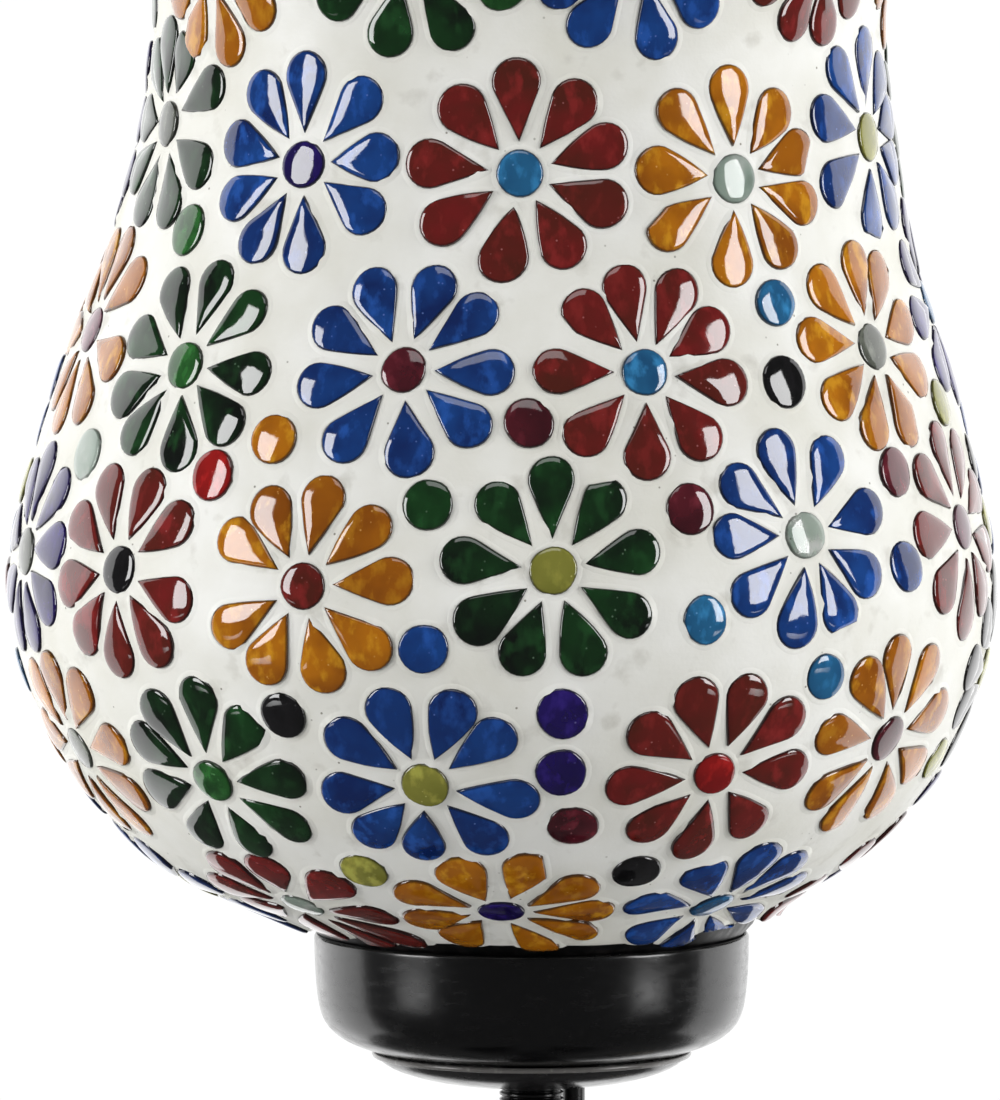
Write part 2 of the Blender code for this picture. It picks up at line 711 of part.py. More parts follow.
def make_switch():
    x, y = SWITCH_CENTRE
    wall = 1.6
    lead_hole = LEAD_RADIUS + GAP
    low_height = SWITCH_SPLIT - GAP / 2
    high_height = SWITCH_HEIGHT - SWITCH_SPLIT - GAP / 2
    size = (SWITCH_LENGTH, SWITCH_WIDTH)
    inner = (SWITCH_LENGTH - 2 * wall, SWITCH_WIDTH - 2 * wall)
    base = half_shell("switch_base", size, 0.0, low_height)
    cut(base, block("hollow_in_base", (*inner, low_height), (x, y, wall + low_height / 2), BLACK_PLASTIC))
    top_z = SWITCH_HEIGHT - high_height
    cover = half_shell("switch_cover", size, top_z, SWITCH_HEIGHT)
    hollow_middle = (x, y, top_z + high_height / 2 - wall)
    cut(cover, block("hollow_in_cover", (*inner, high_height), hollow_middle, BLACK_PLASTIC))
    window = (ROCKER_LENGTH + 2.0, ROCKER_WIDTH + 1.0, 6.0)
    cut(cover, block("rocker_window", window, (x, y, SWITCH_HEIGHT), BLACK_PLASTIC))
    for piece, end in ((base, -1), (base, 1), (cover, -1), (cover, 1)):
        start = (x + end * (SWITCH_LENGTH / 2 - 4.0), y, SWITCH_SPLIT)
        cut(piece, rod("lead_hole", (lead_hole, lead_hole), 8.0, start, (end, 0, 0), BLACK_PLASTIC, 16))
    rocker = make_rocker(x, y)
    rocker.rotation_euler = (0.0, math.radians(ROCKER_TILT), 0.0)
    for name, side in (("in", 1.0), ("out", -1.0)):
        place_at = (x + side * 13.0, y, wall + GAP + 1.6)
        block(f"switch_contact_{name}", (12.0, 5.0, 3.2), place_at, BRASS, 0.4, 1)
    rod("switch_screw", (1.8, 1.8), 3.4, (x, y - 6.0, wall + GAP), (0, 0, 1), STEEL, 12)


def half_shell(name, size, low, high):
    """Half of the switch's case: a block whose upright edges are rounded."""
    x, y = SWITCH_CENTRE
    radius = 7.0
    half = (size[0] / 2 - radius, size[1] / 2 - radius)
    outline = []
    for k in range(4):
        corner = (half[0] * (1, -1, -1, 1)[k], half[1] * (1, 1, -1, -1)[k])
        for j in range(6):
            dx, dy = around_axis(radius, 90 * k + 18 * j)
            outline.append((corner[0] + dx, corner[1] + dy))
    piece = plate(name, [outline], high - low, BLACK_PLASTIC, (x, y, (low + high) / 2))
    return as_mesh(piece)


def make_rocker(x, y):
    """The rocker, with its origin on its pivot: a bar whose top is a shallow V."""
    half = ROCKER_LENGTH / 2
    outline = [(-half, -2.4), (half, -2.4), (half, 4.4), (0.0, 3.2), (-half, 4.4)]
    curve = plate("rocker_outline", [outline], ROCKER_WIDTH, BLACK_PLASTIC, (0, 0, 0))
    curve.name = "switch_rocker"
    solid = as_mesh(curve)
    solid.data.transform(Matrix.Rotation(math.radians(90), 4, "X"))
    solid.location = Vector((x, y, ROCKER_PIVOT_Z)) * MM
    return solid


def make_plug():
    rod("plug_relief", (2.5, 4.6), PLUG_RELIEF, (PLUG_TIP_X, PLUG_Y, PLUG_Z), (1, 0, 0), BLACK_PLASTIC)
    back = PLUG_TIP_X + PLUG_RELIEF + GAP
    middle = (back + PLUG_LENGTH / 2, PLUG_Y, PLUG_HEIGHT / 2)
    size = (PLUG_LENGTH, PLUG_BACK_WIDTH, PLUG_HEIGHT)
    block("plug_body", size, middle, BLACK_PLASTIC, 2.5, 3, PLUG_WIDTH / PLUG_BACK_WIDTH)
    front = back + PLUG_LENGTH + GAP
    for name, side in (("left", 1.0), ("right", -1.0)):
        start = (front, PLUG_Y + side * PIN_SPACING / 2, PLUG_Z)
        rod(f"plug_pin_{name}", (PIN_RADIUS, PIN_RADIUS), PIN_LENGTH, start, (1, 0, 0), BRASS, 16)


clear_scene()
LAMP = make_collection("mosaic_table_lamp")
CUTTERS = make_collection("cutters")
ENAMEL = make_material("black enamel", (0.012, 0.012, 0.013), 0.28)
IRON = make_material("cast iron", (0.09, 0.09, 0.09), 0.7, 0.8)
STEEL = make_material("plated steel", (0.55, 0.55, 0.53), 0.35, 1.0)
BRASS = make_material("brass", (0.75, 0.56, 0.25), 0.3, 1.0)
FELT = make_material("black felt", (0.02, 0.02, 0.02), 0.95)
BLACK_PLASTIC = make_material("black moulded plastic", (0.02, 0.02, 0.02), 0.4)
WHITE_PLASTIC = make_material("white moulded plastic", (0.8, 0.78, 0.72), 0.4)
CERAMIC = make_material("ceramic", (0.85, 0.83, 0.78), 0.3)
BLACK_PVC = make_material("black cord sheath", (0.015, 0.015, 0.015), 0.35)
BROWN_PVC = make_material("brown insulation", (0.2, 0.07, 0.03), 0.4)
BLUE_PVC = make_material("blue insulation", (0.03, 0.1, 0.5), 0.4)
GROUT = make_material("white grout", (0.82, 0.82, 0.78), 0.75)
CLEAR_GLASS = make_material("clear glass", (0.95, 0.97, 0.96), 0.03, 0.0, 1.0)

make_base()
make_stem()
make_cup()
make_shade()
make_holder()
make_bulb()
make_lead()
make_switch()
make_plug()
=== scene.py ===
"""Looks of the mosaic glass table lamp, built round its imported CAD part.

Lengths in the tables are millimetres and angles are degrees. Azimuth 0 faces the viewer (-Y) and grows
towards +X; a shade height is counted from the cup's rim.
"""

import random
from bisect import bisect_right
from math import acos, atan2, copysign, cos, degrees, hypot, pi, radians, sin, sqrt

import bmesh
import bpy
from mathutils import Matrix, Vector, noise


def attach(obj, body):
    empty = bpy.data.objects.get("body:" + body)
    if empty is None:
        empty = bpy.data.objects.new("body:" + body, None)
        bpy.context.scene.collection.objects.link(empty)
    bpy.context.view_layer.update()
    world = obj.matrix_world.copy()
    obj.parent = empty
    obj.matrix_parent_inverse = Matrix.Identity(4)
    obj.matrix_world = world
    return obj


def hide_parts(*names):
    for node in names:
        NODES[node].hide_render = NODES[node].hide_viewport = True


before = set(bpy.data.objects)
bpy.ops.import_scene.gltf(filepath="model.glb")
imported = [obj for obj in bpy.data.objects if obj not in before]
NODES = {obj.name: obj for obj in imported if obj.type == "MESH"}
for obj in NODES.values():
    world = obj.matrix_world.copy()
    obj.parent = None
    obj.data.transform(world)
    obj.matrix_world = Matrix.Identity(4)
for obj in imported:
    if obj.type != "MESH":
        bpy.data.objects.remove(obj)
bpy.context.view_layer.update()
MM = 0.001

# ---- sizes repeated from the part

RIM_Z = 175.0
MOUTH_HEIGHT = 167.0
GAP = 0.3
# Radius and height above the cup's rim, from the hem up
MOSAIC_OUTLINE = [
    (35.3, 0.7), (42.5, 5.0), (56.9, 14.0), (69.9, 30.0), (76.3, 54.0),
    (71.0, 80.0), (60.9, 111.0), (56.4, 139.0), (57.8, 154.0), (63.0, MOUTH_HEIGHT),
]
BOWL_OUTLINE = [(20.6, -9.0), (27.4, -6.2), (31.0, -2.6), (32.3, -0.4)]
# Height above the rim, and how far the shade's centre lies towards +X there
SHADE_CENTRE = [
    (-10.0, 0.0), (0.0, 0.0), (8.0, -3.9), (62.0, -4.7), (90.0, -4.1), (130.0, -2.2), (170.0, -1.2),
]
LEAD_RADIUS = 1.8
LEAD_X, LEAD_Y = 6.5, 6.9
LEAD_EXIT_Z = 154.6
SWITCH_X, SWITCH_Y = 24.0, 86.0
COIL_X, COIL_Y = -36.0, 110.9
PLUG_Y, PLUG_Z = 126.0, 7.0


def rgb(*values):
    """A colour given as 0 to 255 in sRGB, as the linear values that a shader takes."""
    parts = [value / 255 for value in values]
    return (*(v / 12.92 if v <= 0.04045 else ((v + 0.055) / 1.055) ** 2.4 for v in parts), 1.0)


def brighter(colour, times, plus):
    return (*(min(1.0, c * times + plus) for c in colour[:3]), 1.0)


def eased(t):
    """A smooth step from 0 to 1."""
    t = min(max(t, 0.0), 1.0)
    return t * t * (3 - 2 * t)


# ---- materials


class Look:
    """A Principled material and the few kinds of node that its looks are made of."""

    def __init__(self, name, **sockets):
        self.material = bpy.data.materials.new(name)
        self.material.use_nodes = True
        self.tree = self.material.node_tree
        self.shader = self.tree.nodes["Principled BSDF"]
        for socket, value in sockets.items():
            self.shader.inputs[socket.replace("_", " ").title().replace("Ior", "IOR")].default_value = value
        self.place = self.tree.nodes.new("ShaderNodeTexCoord").outputs["Object"]

    def node(self, kind, **links):
        made = self.tree.nodes.new("ShaderNode" + kind)
        for name, value in links.items():
            self.put(made.inputs[name], value)
        return made

    def put(self, socket, value):
        if isinstance(value, bpy.types.NodeSocket):
            self.tree.links.new(value, socket)
        else:
            socket.default_value = value

    def noise(self, scale, detail=4.0, stretch=None):
        where = self.place
        if stretch:
            mapped = self.node("Mapping", Vector=where)
            mapped.inputs["Scale"].default_value = stretch
            where = mapped.outputs[0]
        return self.node("TexNoise", Vector=where, Scale=scale, Detail=detail).outputs[0]

    def cells(self, scale):
        return self.node("TexVoronoi", Vector=self.place, Scale=scale).outputs["Distance"]

    def attribute(self, name):
        made = self.tree.nodes.new("ShaderNodeAttribute")
        made.attribute_name = name
        return made.outputs["Fac"]

    def range(self, source, low, high, to_low=0.0, to_high=1.0):
        made = self.node("MapRange", Value=source)
        for name, value in (("From Min", low), ("From Max", high), ("To Min", to_low), ("To Max", to_high)):
            made.inputs[name].default_value = value
        return made.outputs[0]

    def patches(self, scale, detail, low, high, to_low=0.0, to_high=1.0, stretch=None):
        return self.range(self.noise(scale, detail, stretch), low, high, to_low, to_high)

    def mix(self, factor, a, b):
        made = self.tree.nodes.new("ShaderNodeMix")
        made.data_type = "RGBA"
        for socket, value in ((0, factor), (6, a), (7, b)):
            self.put(made.inputs[socket], value)
        return made.outputs[2]

    def math(self, operation, *values):
        made = self.tree.nodes.new("ShaderNodeMath")
        made.operation = operation
        for socket, value in zip(made.inputs, values):
            self.put(socket, value)
        return made.outputs[0]

    def times(self, a, b):
        return self.math("MULTIPLY", a, b)

    def set(self, socket, value):
        self.put(self.shader.inputs[socket], value)

    def paint(self, factor, a, b):
        self.set("Base Color", self.mix(factor, a, b))

    def bump(self, source, distance, strength=1.0, under=None):
        made = self.node("Bump", Height=source, Strength=strength, Distance=distance * MM)
        if under is not None:
            self.put(made.inputs["Normal"], under)
        self.set("Normal", made.outputs[0])
        return made.outputs[0]


def enamel_look(name="black enamel", colour=rgb(9, 9, 10), dust_and_highlight=rgb(84, 82, 80), dust_and_highlight_share=0.1):
    """Baked satin black paint: faint orange peel, cloudy gloss, brushed haze and patches of dust. The
    saucer's copy is lighter, a painted reflection of the floor; the saucer lip's copy is light grey with
    lighter patches, a painted highlight.
    """
    look = Look(name, roughness=0.2, specular_ior_level=0.47, coat_weight=0.22, coat_roughness=0.16)
    cloud = look.noise(60.0, 5.0)
    haze = look.noise(260.0, 6.0, (1.0, 1.0, 3.0))
    dust = look.patches(900.0, 6.0, 0.6, 0.8)
    look.paint(look.times(dust, dust_and_highlight_share), colour, dust_and_highlight)
    gloss = look.math("MULTIPLY_ADD", cloud, 0.12, 0.14)
    look.set("Roughness", look.math("ADD", gloss, look.range(haze, 0.45, 0.75, 0.0, 0.12)))
    peel = look.bump(look.noise(1400.0, 2.0), 0.01)
    look.bump(haze, 0.02, 0.5, peel)
    return look.material


def foot_look():
    """A black band on the vase's foot: dull, streaky and lighter in places."""
    look = Look("foot band", roughness=0.35, specular_ior_level=0.15)
    streaks = look.noise(500.0, 6.0, (1.0, 1.0, 0.2))
    look.paint(look.range(streaks, 0.5, 0.8), rgb(8, 8, 9), rgb(38, 36, 35))
    look.set("Roughness", look.range(streaks, 0.3, 0.7, 0.25, 0.45))
    look.bump(streaks, 0.03)
    return look.material


def plastic_look(name, colour, rough=0.42, grain=2600.0):
    """Moulded plastic with a fine spark-eroded grain and handling marks."""
    look = Look(name, roughness=rough)
    marks = look.patches(240.0, 8.0, 0.55, 0.75, stretch=(1.0, 1.0, 5.0))
    look.paint(look.times(marks, 0.35), colour, brighter(colour, 1.5, 0.012))
    look.set("Roughness", look.patches(90.0, 4.0, 0.3, 0.7, rough - 0.08, rough + 0.08))
    look.bump(look.noise(grain, 2.0), 0.02)
    return look.material


def metal_look(name, colour, rough, tarnish, stretch=(1.0, 1.0, 9.0)):
    """Turned or rolled metal: fine drawing lines and patches of tarnish."""
    look = Look(name, metallic=1.0, roughness=rough)
    look.paint(look.patches(160.0, 6.0, 0.45, 0.72), colour, tarnish)
    look.set("Roughness", look.patches(420.0, 3.0, 0.2, 0.8, rough - 0.08, rough + 0.12))
    look.bump(look.noise(800.0, 4.0, stretch), 0.015)
    return look.material


def iron_look():
    look = Look("cast iron", metallic=0.85, roughness=0.7)
    look.paint(look.patches(200.0, 8.0, 0.4, 0.7), rgb(88, 86, 84), rgb(84, 62, 48))
    look.bump(look.noise(1100.0, 6.0), 0.15)
    return look.material


def felt_look():
    look = Look("black felt", roughness=0.95, sheen_weight=0.4, sheen_roughness=0.6)
    fibres = look.noise(2200.0, 8.0)
    look.paint(fibres, rgb(14, 14, 15), rgb(52, 51, 50))
    look.bump(fibres, 0.2)
    return look.material


def ceramic_look():
    look = Look("ceramic", roughness=0.35, coat_weight=0.3, coat_roughness=0.1)
    look.paint(look.noise(260.0, 6.0), rgb(226, 220, 206), rgb(238, 234, 224))
    look.bump(look.noise(700.0, 3.0), 0.02)
    return look.material


def sheath_look(name="black sheath", colour=rgb(16, 16, 17)):
    """Glossy PVC: slightly uneven, with scuffs and a little dust."""
    look = Look(name, roughness=0.26, coat_weight=0.2)
    scuffs = look.patches(700.0, 6.0, 0.6, 0.75, stretch=(1.0, 1.0, 0.3))
    look.paint(look.times(scuffs, 0.3), colour, brighter(colour, 1.0, 0.06))
    look.set("Roughness", look.patches(140.0, 4.0, 0.3, 0.7, 0.2, 0.36))
    look.bump(look.noise(420.0, 2.0), 0.03)
    return look.material


def clear_glass_look(name="clear glass", tint=rgb(244, 249, 246)):
    """Hand-blown glass: faint waves and a few seeds."""
    look = Look(name, roughness=0.02, ior=1.5, transmission_weight=1.0)
    look.paint(look.noise(40.0, 3.0), tint, rgb(236, 246, 241))
    waves = look.bump(look.noise(70.0, 2.0), 0.08)
    look.bump(look.range(look.cells(260.0), 0.0, 0.12), 0.02, 0.4, waves)
    return look.material


def grout_look():
    """Matte white grout: trowelled, faintly dirty, with specks, pinholes and hairline scratches."""
    look = Look("white grout", roughness=0.62, specular_ior_level=0.35)
    cloud = look.noise(55.0, 6.0)
    colour = look.mix(look.range(cloud, 0.35, 0.68), rgb(246, 246, 241), rgb(230, 229, 219))
    smear = look.patches(170.0, 8.0, 0.6, 0.74)
    colour = look.mix(look.times(smear, 0.5), colour, rgb(194, 191, 180))
    speck = look.range(look.cells(420.0), 0.05, 0.1, 1.0, 0.0)
    few = look.patches(95.0, 1.0, 0.56, 0.62)
    colour = look.mix(look.times(speck, few), colour, rgb(142, 138, 126))
    look.set("Base Color", colour)
    look.set("Roughness", look.range(cloud, 0.3, 0.7, 0.5, 0.72))
    fine = look.bump(look.noise(1500.0, 6.0), 0.03)
    trowel = look.bump(look.noise(120.0, 4.0), 0.16, 0.7, fine)
    look.bump(look.noise(260.0, 5.0, (1.0, 1.0, 6.0)), 0.03, 0.6, trowel)
    return look.material


def chip_look(name, colour, deep, through):
    """Cast glass chip: cloudy body, streaks, seeds, painted shade along its rim where it dips into the grout,
    and a slightly rippled top.
    """
    look = Look(name, ior=1.56, transmission_weight=through, coat_weight=0.3)
    body = look.mix(look.patches(120.0, 3.0, 0.34, 0.62), deep, colour)
    wisp = look.patches(420.0, 7.0, 0.51, 0.66, stretch=(1.0, 1.0, 0.6))
    body = look.mix(look.times(wisp, 0.75), body, brighter(colour, 1.4 + 2.0 * through, 0.03 * through))
    body = look.mix(look.range(look.attribute("tint"), 0.35, 1.0, 0.0, 0.6), body, deep)
    seeds = look.range(look.cells(800.0), 0.05, 0.16, 1.0, 0.0)
    few = look.patches(330.0, 2.0, 0.52, 0.58)
    body = look.mix(look.times(look.times(seeds, few), 0.8), body, brighter(colour, 2.0, 0.14))
    # Painted shade: the rings where the chip's edge meets the grout go near black
    body = look.mix(look.range(look.attribute("rim"), 0.0, 1.0, 0.0, 0.85), body, rgb(16, 14, 14))
    look.set("Base Color", body)
    look.set("Roughness", look.patches(500.0, 3.0, 0.3, 0.7, 0.02, 0.08))
    ripple = look.bump(look.noise(170.0, 2.0), 0.07)
    look.bump(look.noise(900.0, 3.0), 0.008, 0.7, ripple)
    return look.material


# A chip's colour, its colour where it is deep, and how much light goes through it
CHIP_COLOURS = {
    "dark_red": ((116, 28, 27), (86, 32, 22), 0.12),
    "blue": ((25, 74, 150), (15, 42, 104), 0.25),
    "dark_green": ((20, 62, 26), (7, 15, 10), 0.15),
    "orange": ((212, 130, 18), (160, 88, 12), 0.35),
    "sky_blue": ((46, 122, 172), (30, 86, 134), 0.3),
    "olive": ((158, 156, 70), (128, 128, 52), 0.2),
    "bright_red": ((186, 30, 28), (130, 20, 20), 0.25),
    "violet": ((38, 20, 104), (24, 12, 72), 0.2),
    "pale_aqua": ((206, 222, 212), (168, 190, 178), 0.7),
    "maroon": ((96, 28, 40), (60, 16, 26), 0.15),
    "black": ((20, 19, 21), (8, 8, 9), 0.0),
    "green": ((46, 108, 48), (20, 62, 26), 0.3),
    "mauve": ((134, 84, 100), (96, 60, 76), 0.3),
    "grey": ((112, 116, 106), (80, 84, 78), 0.4),
}

LOOKS = {
    "black_enamel": enamel_look(),
    # Lighter than the cup's enamel: a painted reflection of the pale floor on the saucer
    "saucer_enamel_painted_reflection": enamel_look("saucer enamel painted reflection", rgb(36, 35, 36)),
    "foot_band": foot_look(),
    # Light grey with lighter patches: a painted highlight along the saucer's lip
    "lip_painted_highlight": enamel_look("lip painted highlight", rgb(104, 102, 100), rgb(160, 158, 154), 0.6),
    "cast_iron": iron_look(),
    "plated_steel": metal_look("plated steel", rgb(188, 188, 184), 0.3, rgb(140, 138, 132)),
    "brass": metal_look("brass", rgb(214, 178, 98), 0.28, rgb(150, 116, 62)),
    "felt": felt_look(),
    "black_plastic": plastic_look("black moulded plastic", rgb(24, 24, 25)),
    "white_plastic": plastic_look("white moulded plastic", rgb(232, 228, 216), 0.36),
    "ceramic": ceramic_look(),
    "black_sheath": sheath_look(),
    "brown_insulation": sheath_look("brown insulation", rgb(92, 52, 32)),
    "blue_insulation": sheath_look("blue insulation", rgb(34, 84, 170)),
    "clear_glass": clear_glass_look(),
    "grout": grout_look(),
}


# ---- meshes


def add_piece(name, data, look, body="stand", slot=None, replaces=()):
    piece = bpy.data.objects.new(name, data)
    bpy.context.scene.collection.objects.link(piece)
    data.materials.append(LOOKS[look] if isinstance(look, str) else look)
    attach(piece, body)
    if replaces:
        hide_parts(*replaces)
    return piece


def raw_mesh(name, points, faces):
    mesh = bpy.data.meshes.new(name)
    mesh.from_pydata([(x * MM, y * MM, z * MM) for x, y, z in points], [], faces)
    return mesh


def mesh_from(name, points, faces, smooth_angle=40.0):
    mesh = raw_mesh(name, points, faces)
    mesh.validate()
    mesh.shade_smooth()
    mesh.set_sharp_from_angle(angle=radians(smooth_angle))
    return mesh


def shade_centre(height):
    """How far the shade's centre lies towards +X at a height above the cup's rim."""
    for (low, a), (high, b) in zip(SHADE_CENTRE, SHADE_CENTRE[1:]):
        if height <= high:
            return a + (b - a) * eased((height - low) / (high - low))
    return SHADE_CENTRE[-1][1]


def smooth_line(points, step):
    """Points about step apart on a smooth curve through the given ones, in two or three dimensions."""
    vectors = [Vector(p).to_3d() for p in points]
    padded = [vectors[0] * 2 - vectors[1], *vectors, vectors[-1] * 2 - vectors[-2]]
    line = []
    for a, b, c, d in zip(padded, padded[1:], padded[2:], padded[3:]):
        count = max(1, round((c - b).length / step))
        for k in range(count):
            t = k / count
            bend = (2 * a - 5 * b + 4 * c - d) * t**2 + (3 * b - a - 3 * c + d) * t**3
            line.append(0.5 * (2 * b + (c - a) * t + bend))
    line.append(vectors[-1])
    return line


def smooth_outline(outline, step):
    return [(p.x, p.y) for p in smooth_line(outline, step)]


def inset(outline, distance):
    """An outline moved to its left by a distance, or by a distance for each point."""
    out = []
    for i, (r, z) in enumerate(outline):
        before, after = outline[max(i - 1, 0)], outline[min(i + 1, len(outline) - 1)]
        along = Vector((after[0] - before[0], after[1] - before[1])).normalized()
        by = distance(z) if callable(distance) else distance
        out.append((r - along.y * by, z + along.x * by))
    return out


def rounded(outline, radius, steps=3):
    """An outline with its corners rounded off, for the bright line that an edge shows."""
    out = []
    count = len(outline)
    for i, point in enumerate(outline):
        p = Vector(point)
        before = Vector(outline[i - 1]) - p
        after = Vector(outline[(i + 1) % count]) - p
        cut = min(radius, before.length * 0.45, after.length * 0.45)
        if before.angle(after) > radians(165) or cut < 0.02:
            out.append((p.x, p.y))
            continue
        start = p + before.normalized() * cut
        end = p + after.normalized() * cut
        for k in range(steps + 1):
            t = k / steps
            q = start * (1 - t) ** 2 + p * 2 * t * (1 - t) + end * t * t
            out.append((q.x, q.y))
    return out


def lathe(name, outline, steps=96, leaning=False, corner=0.25):
    """A closed outline of (radius, z), which may touch the axis, turned about Z."""
    ring = rounded(outline, corner) if corner else list(outline)
    points, rows = [], []
    for r, z in ring:
        shift = shade_centre(z - RIM_Z) if leaning else 0.0
        if r < 0.01:
            rows.append([len(points)] * steps)
            points.append((shift, 0.0, z))
            continue
        rows.append(list(range(len(points), len(points) + steps)))
        for k in range(steps):
            a = 2 * pi * k / steps
            points.append((shift + r * cos(a), r * sin(a), z))
    faces = []
    for i, row in enumerate(rows):
        nearby = rows[(i + 1) % len(rows)]
        for k in range(steps):
            j = (k + 1) % steps
            face = list(dict.fromkeys((row[k], nearby[k], nearby[j], row[j])))
            if len(face) > 2:
                faces.append(face)
    return mesh_from(name, points, faces)


def turned(name, outline, look, steps=144, corner=0.25, above_rim=False, body="stand", leaning=False, **more):
    """A piece that is a turned outline, whose heights may be counted from the cup's rim."""
    if above_rim:
        outline = [(r, RIM_Z + z) for r, z in outline]
    mesh = lathe(name, outline, steps, leaning=leaning, corner=corner)
    return add_piece(name, mesh, look, body, **more)


def wire(name, points, radius, resolution=3, smooth_curve=True):
    """A round wire or lead through points."""
    curve = bpy.data.curves.new(name, "CURVE")
    curve.dimensions = "3D"
    curve.bevel_depth = radius * MM
    curve.bevel_resolution = resolution
    curve.use_fill_caps = True
    curve.resolution_u = 6
    if smooth_curve:
        spline = curve.splines.new("BEZIER")
        spline.bezier_points.add(len(points) - 1)
        for point, co in zip(spline.bezier_points, points):
            point.co = Vector(co) * MM
            point.handle_left_type = "AUTO"
            point.handle_right_type = "AUTO"
    else:
        spline = curve.splines.new("POLY")
        spline.points.add(len(points) - 1)
        for point, co in zip(spline.points, points):
            point.co = (*(Vector(co) * MM), 1.0)
    return curve


# ---- the shade's surface

PROFILE_STEP = 0.5
PROFILE = smooth_outline(MOSAIC_OUTLINE, PROFILE_STEP)
LENGTHS = [0.0]
for (r0, z0), (r1, z1) in zip(PROFILE, PROFILE[1:]):
    LENGTHS.append(LENGTHS[-1] + hypot(r1 - r0, z1 - z0))
SHADE_LENGTH = LENGTHS[-1]
GROUT_THICKNESS = 2.35
# How far chips stay below the shade's end, all points below the mouth, and the surface under the part's
MOUTH_INSET = 0.8
BELOW_MOUTH = 0.05
SINK = 0.2
# The bare hem at the right: azimuths where it opens and closes, and its height
HEM_OPENS, HEM_OPEN = 36.0, 50.0
HEM_CLOSES, HEM_CLOSED = 94.0, 112.0
BARE_HEM = 4.6
CLEAR_OF_HEM = 0.9
# Length and depth of the grout's rounding at the hem and at the mouth
HEM_ROUND, HEM_DEPTH = 2.2, 1.6
TOP_ROUND, TOP_DEPTH = 1.6, 0.6


def at_length(s):
    """Radius, height and outward direction of the shade's outline at a length from its hem."""
    s = min(max(s, 0.0), SHADE_LENGTH)
    high = min(bisect_right(LENGTHS, s), len(LENGTHS) - 1)
    low = high - 1
    (r0, z0), (r1, z1) = PROFILE[low], PROFILE[high]
    t = (s - LENGTHS[low]) / max(LENGTHS[high] - LENGTHS[low], 1e-6)
    before, after = PROFILE[max(low - 4, 0)], PROFILE[min(high + 4, len(PROFILE) - 1)]
    along = Vector((after[0] - before[0], after[1] - before[1])).normalized()
    return r0 + (r1 - r0) * t, z0 + (z1 - z0) * t, along.y, -along.x


def length_of(height):
    """Length along the outline of a height above the rim."""
    for k, (_, z) in enumerate(PROFILE):
        if z >= height:
            return LENGTHS[k]
    return SHADE_LENGTH


def noise_round(azimuth, reach, height):
    """Noise that joins up round the shade."""
    a = radians(azimuth)
    return noise.noise(Vector((sin(a) * reach, cos(a) * reach, height)))


def swell(azimuth, s):
    """Slow unevenness of the hand-laid surface."""
    return 0.22 * noise_round(azimuth, 2.6, s / 24.0) + 0.06 * noise_round(azimuth, 9.0, s / 7.0)


def on_shade(azimuth, s, lift=0.0):
    """The point of the shade at an azimuth and a length from the hem, lifted off the surface."""
    r, z, out_r, out_z = at_length(s)
    lift += swell(azimuth, s) - SINK
    a = radians(azimuth)
    radius = r + lift * out_r
    height = z + lift * out_z
    return (
        shade_centre(z) + radius * sin(a),
        -radius * cos(a),
        RIM_Z + min(height, MOUTH_HEIGHT - BELOW_MOUTH),
    )


def hem_length(azimuth):
    """How far the mosaic's lower edge stops above the glass's hem: it is uneven and higher at the right."""
    a = (azimuth + 180.0) % 360.0 - 180.0
    opening = eased((a - HEM_OPENS) / (HEM_OPEN - HEM_OPENS))
    closing = eased((HEM_CLOSED - a) / (HEM_CLOSED - HEM_CLOSES))
    return 0.5 + BARE_HEM * (opening * closing) + 0.5 * noise_round(azimuth, 5.0, 3.1)


def make_grout():
    """The grout's skin: up its inner side, round its bulging hem and up its outer side."""
    around, up, inner_rows = 360, 170, 24
    hem_parts = (0.0, 0.0012, 0.003, 0.006)
    points, rows = [], []

    def add_row(lift_of, part):
        row = []
        for k in range(around):
            azimuth = 360.0 * k / around
            hem = hem_length(azimuth)
            s = hem + (SHADE_LENGTH - hem) * part
            row.append(len(points))
            points.append(on_shade(azimuth, s, lift_of(s - hem)))
        rows.append(row)

    def outer_lift(from_hem):
        near = min(from_hem / HEM_ROUND, 1.0)
        top = min((SHADE_LENGTH - from_hem) / TOP_ROUND, 1.0)
        return -HEM_DEPTH * (1 - sqrt(max(0.0, 1 - (1 - near) ** 2))) - TOP_DEPTH * (1 - sqrt(max(0.0, top)))

    for k in range(inner_rows):
        add_row(lambda _: -GROUT_THICKNESS, 1.0 - k / (inner_rows - 1))
    start = hem_parts[-1]
    for part in (*hem_parts, *(start + (1.0 - start) * k / up for k in range(1, up + 1))):
        add_row(outer_lift, part)
    faces = []
    for a, b in zip(rows, rows[1:] + rows[:1]):
        for k in range(around):
            j = (k + 1) % around
            faces.append([a[k], a[j], b[j], b[k]])
    mesh = mesh_from("grout", points, faces, 60.0)
    add_piece("grout", mesh, "grout", "shade", replaces=("mosaic_skin",))


# ---- chips

HEART_RADIUS = 3.75
DOT_RADIUS = 4.05
PETAL_START = 4.8
PETAL_LENGTH = 12.6
PETAL_HALF_WIDTH = 3.75
PETAL_COUNT = 9
SHORTEST_PETAL = 8.6


def fan(turn):
    """Directions of evenly spread petals, the first of them turn degrees anticlockwise from straight up."""
    return [90.0 + turn - 360.0 * k / PETAL_COUNT for k in range(PETAL_COUNT)]


def polar(reach, angle):
    return reach * cos(radians(angle)), reach * sin(radians(angle))


